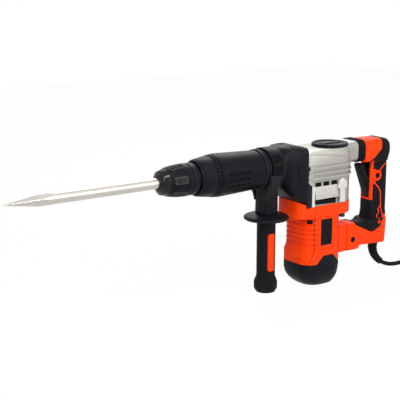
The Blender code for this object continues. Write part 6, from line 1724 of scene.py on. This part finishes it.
@dataclass
class MotorCase:
    """Orange motor case with its seams, bare plate and vents, the black tail cap and the bolts."""

    seam: tuple[tuple[float, float], ...] = ((0.3062, -0.0765), (0.3070, -0.1500), (0.2965, -0.1795))
    rear_seam: tuple[tuple[float, float], ...] = ((0.3625, -0.0965), (0.3640, -0.1480), (0.3690, -0.1720))
    cap_seam: tuple[tuple[float, float], ...] = ((0.2940, -0.1815), (0.2945, -0.2060))
    vent_centre: tuple[float, float] = (0.3145, 0.016)
    vent_radius: tuple[float, float] = (0.0205, 0.0226)
    vent_turn: tuple[float, float] = (math.radians(33.0), math.radians(60.0))
    vent_z: tuple[float, float] = (-0.1046, -0.0984)
    panel: tuple[float, float, float, float] = (0.334, -0.1226, 0.0264, 0.0480)
    taper_top: float = -0.194
    taper: float = 0.028
    cap_ends: tuple[float, float] = (0.2885, 0.3755)
    cap_half: float = 0.0393
    cap_draw: tuple[float, float, float] = (0.018, 0.007, 0.010)
    bolt: tuple[float, float] = (0.383, 0.024)
    bolt_radius: float = 0.00525
    bolt_z: tuple[float, float] = (-0.1042, -0.0943)

    def build(self, shop: Workshop) -> None:
        """Make the motor case's pieces.

        Args:
            shop: The workshop that finishes pieces.
        """
        shop.refined("motor_housing", Palette.ORANGE, "body", 0.0016, 4)
        shop.refined("side_plate", Palette.ORANGE, "body", 0.0004)
        shop.refined("tail_cap", Palette.BLACK, "body", 0.0014, reshape=self.fuller)
        for side, name in ((-1, "left"), (1, "right")):
            case = Drape(shop, ("motor_housing",), Axis.Y, side)
            lines = [case.ribbon(line, 0.0006, 0.00010, bridge=0.0045) for line in (self.seam, self.rear_seam)]
            cap = Drape(shop, ("tail_cap",), Axis.Y, side)
            lines.append(cap.ribbon(self.cap_seam, 0.0008, 0.00010))
            # The seams are dark joints; the vent beside them is painted shade.
            lines.append(self.vent(side))
            shop.piece("case_seams_and_painted_vent_shade_" + name, Form.joined(lines), Palette.DEEP_BLACK_AND_PAINTED_SHADE, "body")
            self.bolt_head(shop, side, name)
        plate = Drape(shop, ("side_plate",))
        x, z, length, height = self.panel
        panel = plate.patch([(x + a, z + b) for a, b in Form.rounded(length, height, 0.0012, 4)], 0.0003, 0.0005)
        shop.piece("plate_panel", panel, Palette.BLACK, "body")
        frame = [(x + a, z + b) for a, b in Form.rounded(length - 0.003, height - 0.003, 0.0010, 4)]
        shop.piece("plate_border", plate.ribbon(frame, 0.0007, 0.00055, True), Palette.BLACK, "body")

    def fuller(self, mesh: bmesh.types.BMesh) -> None:
        """Round the tail cap's foot, so that its walls turn in late.

        Args:
            mesh: The cap's skin in the frame's places, changed in place.
        """
        ahead, behind, inward = self.cap_draw
        front, rear = self.cap_ends
        for share in (0.35, 0.6, 0.8):
            level = Vector((0.0, 0.0, self.taper_top - self.taper * share)) + NOSE
            bmesh.ops.bisect_plane(mesh, geom=[*mesh.verts, *mesh.edges, *mesh.faces], plane_co=level,
                                   plane_no=(0.0, 0.0, 1.0))
        for vertex in mesh.verts:
            spot = vertex.co - NOSE
            share = (self.taper_top - spot.z) / self.taper
            if not 0.02 < share < 0.98 or abs(spot.y) < 0.012 and front + 0.02 < spot.x < rear - 0.012:
                continue
            late = share ** 2.4
            low, high = front + ahead * share, rear - behind * share
            along = (spot.x - low) / (high - low)
            low, high = front + ahead * late, rear - behind * late
            spot.x = low + (high - low) * along
            spot.y *= (self.cap_half - inward * late) / (self.cap_half - inward * share)
            vertex.co = spot + NOSE

    def vent(self, side: int) -> bmesh.types.BMesh:
        """Shape the vent that wraps the case's front corner, as a dark sheet of painted shade.

        Args:
            side: Sign of the flank.

        Returns:
            The closed bmesh.
        """
        x, y = self.vent_centre
        start, end = self.vent_turn
        rings = []
        for i in range(9):
            angle = start + (end - start) * i / 8
            ring = []
            for radius, z in ((self.vent_radius[0], self.vent_z[0]), (self.vent_radius[1], self.vent_z[0]),
                              (self.vent_radius[1], self.vent_z[1]), (self.vent_radius[0], self.vent_z[1])):
                ring.append(Vector((x - radius * math.cos(angle), side * (y + radius * math.sin(angle)), z)))
            rings.append(ring)
        return Form.skin(rings)

    def bolt_head(self, shop: Workshop, side: int, name: str) -> None:
        """Turn one cap bolt under the case's band.

        Args:
            shop: The workshop that finishes pieces.
            side: Sign of the flank.
            name: Name of the flank, as in the CAD node's name.
        """
        low, high = self.bolt_z
        wide = self.bolt_radius
        profile = [(high, 0.0005), (high, wide), (low + 0.0006, wide), (low, wide - 0.0006), (low, 0.0027),
                   (low + 0.0030, 0.0025), (low + 0.0030, 0.0005)]
        head = Form.turned(profile, Axis.Z, Vector((self.bolt[0], side * self.bolt[1], 0.0)), 32, False)
        shop.piece("band_bolt_head_" + name, head, Palette.DARK, "body", ("band_bolt_" + name,))


@dataclass
class RearHandle:
    """Sprung rear handle: orange shells, soft overmould, bellows, trigger and button."""

    bellows: tuple[float, float] = (0.4183, 0.4377)
    bellows_middle: float = 0.01075
    button: tuple[float, float] = (0.4765, -0.0405)
    strip: tuple[float, float] = (0.4668, 0.4743)
    corner: tuple[tuple[float, float], ...] = (
        (0.4820, 0.0110), (0.4785, 0.0085), (0.4656, -0.0020), (0.4560, -0.0096), (0.4560, -0.0127), (0.4820, -0.0127))
    pivot: tuple[float, float] = (0.4144, -0.1533)
    pivot_radius: float = 0.0053
    pivot_steps: int = 28
    panel_spans: tuple[tuple[float, float], ...] = ((-0.0135, -0.0285), (-0.0560, -0.0885))
    panel_corner: float = 0.0016
    slot_half: float = 0.0092
    slot_span: tuple[float, float] = (-0.0815, -0.0125)
    slot_rear: float = 0.4755
    upper_line: tuple[tuple[float, float], ...] = ((0.4835, -0.0340), (0.4865, -0.0285), (0.4975, -0.0190))
    lower_line: tuple[tuple[float, float], ...] = (
        (0.4690, -0.0545), (0.4745, -0.0575), (0.4815, -0.0640), (0.4865, -0.0720), (0.4880, -0.0850),
        (0.4882, -0.1010))
    spike: tuple[tuple[float, float], ...] = (
        (0.4882, -0.0990), (0.4815, -0.1060), (0.4850, -0.1100), (0.4790, -0.1195), (0.4815, -0.1225),
        (0.4780, -0.1305), (0.4935, -0.1280), (0.4925, -0.1150))

    def build(self, shop: Workshop) -> None:
        """Make the rear handle's pieces.

        Args:
            shop: The workshop that finishes pieces.
        """
        shop.refined("handle_shell_left", Palette.ORANGE, "rear_handle", 0.0007)
        shop.refined("handle_shell_right", Palette.ORANGE, "rear_handle", 0.0007)
        shop.refined("grip_overmould", Palette.RUBBER, "rear_handle", 0.0007)
        shop.refined("trigger", Palette.BLACK, "trigger", 0.0008)
        shop.refined("lock_button", Palette.DEEP_BLACK_AND_PAINTED_SHADE, "lock_button", 0.0010)
        shop.refined("handle_pivot_pin", Palette.DARK, "body", 0.0006)
        self.flanks(shop)
        self.boot(shop)
        self.damper(shop)

    def flanks(self, shop: Workshop) -> None:
        """Lay the black side panels, the orange lines and the painted shade of the pivot hole and trigger slot on both
        flanks of the grip.

        Args:
            shop: The workshop that finishes pieces.
        """
        near, far = self.strip
        middle, width = (near + far) / 2, far - near
        for side, name in ((-1, "left"), (1, "right")):
            grip = Drape(shop, ("handle_shell_left", "handle_shell_right", "grip_overmould"), Axis.Y, side)
            panels = []
            for top, foot in self.panel_spans:
                outline = [(middle + a, (top + foot) / 2 + b)
                           for a, b in Form.rounded(width, top - foot, self.panel_corner, 4)]
                panels.append(grip.patch(outline, 0.00035, 0.0006))
            panels.append(grip.patch(self.corner, 0.00035, 0.0006))
            shop.piece("grip_panels_" + name, Form.joined(panels), Palette.RUBBER, "rear_handle")
            x, z = self.pivot
            # The dark disc over the pivot hole is painted shade.
            turns = [math.tau * k / self.pivot_steps for k in range(self.pivot_steps)]
            disc = [(x + self.pivot_radius * math.cos(turn), z + self.pivot_radius * math.sin(turn)) for turn in turns]
            dark = [grip.patch(disc, 0.0002, 0.0003), self.slot_wall(grip.tree, side)]
            shop.piece("handle_painted_shade_" + name, Form.joined(dark), Palette.DEEP_BLACK_AND_PAINTED_SHADE, "rear_handle")
            lines = [grip.ribbon(self.upper_line, 0.0026, 0.0005), grip.ribbon(self.lower_line, 0.0024, 0.0005),
                     grip.ribbon(self.spike, 0.0022, 0.0005, True)]
            if side > 0:
                x, z = self.button
                ring = [(x + 0.0075 * math.cos(math.tau * k / 24), z + 0.0075 * math.sin(math.tau * k / 24))
                        for k in range(24)]
                lines.append(grip.ribbon(ring, 0.0045, 0.0008, True))
            shop.piece("grip_lines_" + name, Form.joined(lines), Palette.ORANGE, "rear_handle")

    def slot_wall(self, tree: BVHTree, side: int) -> bmesh.types.BMesh:
        """Line one wall of the trigger's slot, behind the shell's front edge, with a dark sheet of painted shade.

        Args:
            tree: The shells' surfaces.
            side: Sign of the wall.

        Returns:
            The closed bmesh.
        """
        low, high = self.slot_span
        inner, outer = side * self.slot_half, side * (self.slot_half + 0.0005)
        rings = []
        for i in range(25):
            z = low + (high - low) * i / 24
            spot = tree.ray_cast(Vector((0.43, outer + side * 0.0003, z)) + NOSE, Vector((1.0, 0.0, 0.0)))[0]
            front = min(self.slot_rear - 0.001, (spot - NOSE).x + 0.0004) if spot else self.slot_rear - 0.001
            rings.append([Vector((front, inner, z)), Vector((self.slot_rear, inner, z)),
                          Vector((self.slot_rear, outer, z)), Vector((front, outer, z))])
        return Form.skin(rings)

    def boot(self, shop: Workshop) -> None:
        """Mould the ribbed bellows between gear case and handle.

        Args:
            shop: The workshop that finishes pieces.
        """
        front, rear = self.bellows
        rings = []
        for i in range(37):
            share = i / 36
            rise = 0.003 * (0.5 - 0.5 * math.cos(math.tau * share * 3)) ** 0.8
            outline = Form.rounded(0.047 + 2 * rise, 0.0355 + 2 * rise, 0.010 + rise, 7)
            rings.append([Vector((front + (rear - front) * share, a, self.bellows_middle + b)) for a, b in outline])
        inner = Form.rounded(0.039, 0.0275, 0.006, 7)
        for place in (rear, front):
            rings.append([Vector((place, a, self.bellows_middle + b)) for a, b in inner])
        data = Form.skin(rings, True)
        bmesh.ops.translate(data, verts=data.verts[:], vec=NOSE)
        mesh = bpy.data.meshes.new("bellows_ribbed")
        data.to_mesh(mesh)
        data.free()
        for face in mesh.polygons:
            face.use_smooth = True
        mesh.set_sharp_from_angle(angle=SMOOTH_ANGLE)
        shop.rub(mesh)
        mesh.materials.append(Palette.RUBBER.material())
        made = bpy.data.objects.new("bellows_ribbed", mesh)
        bpy.context.scene.collection.objects.link(made)
        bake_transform(made)
        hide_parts("handle_bellows")
        shop.dressed.add("handle_bellows")
        LOG.info("bellows_ribbed: %d faces between body and rear_handle", len(mesh.polygons))

    def damper(self, shop: Workshop) -> None:
        """Wind the damper spring inside the bellows.

        Args:
            shop: The workshop that finishes pieces.
        """
        low, high = self.bellows[0] + 0.0014, self.bellows[1] - 0.0014
        points = []
        for i in range(97):
            share = i / 96
            angle = math.tau * 4 * share
            points.append(Vector((low + (high - low) * share, 0.009 * math.cos(angle),
                                  self.bellows_middle + 0.009 * math.sin(angle))))
        made = shop.piece("damper_spring_wound", Form.tube(points, [0.001] * 97, 10), Palette.STEEL, "body",
                          ("damper_spring",))
        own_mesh(made)


class Hammer:
    """The whole tool: every assembly in its order, then the pieces that stay as they are."""

    def __init__(self, shop: Workshop) -> None:
        """Keep the workshop.

        Args:
            shop: The workshop that finishes pieces.
        """
        self.shop = shop
        self.assemblies = (MainsLead(), ChiselPoint(), Nose(), Barrel(), SideHandle(), FrontCover(), GearCase(),
                           MotorCase(), RearHandle())

    def build(self) -> None:
        """Build every assembly and dress what is left."""
        for assembly in self.assemblies:
            LOG.info("building %s", type(assembly).__name__)
            assembly.build(self.shop)
        for node in sorted(set(self.shop.frame) - self.shop.dressed):
            self.shop.leave(node)


def main() -> None:
    """Load the frame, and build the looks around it."""
    logging.basicConfig(level=logging.INFO, format="%(name)s %(message)s")
    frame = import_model()
    Studio().build()
    Hammer(Workshop(frame["nodes"])).build()
    bpy.context.scene.view_settings.view_transform = "Standard"


if __name__ == "__main__":
    main()
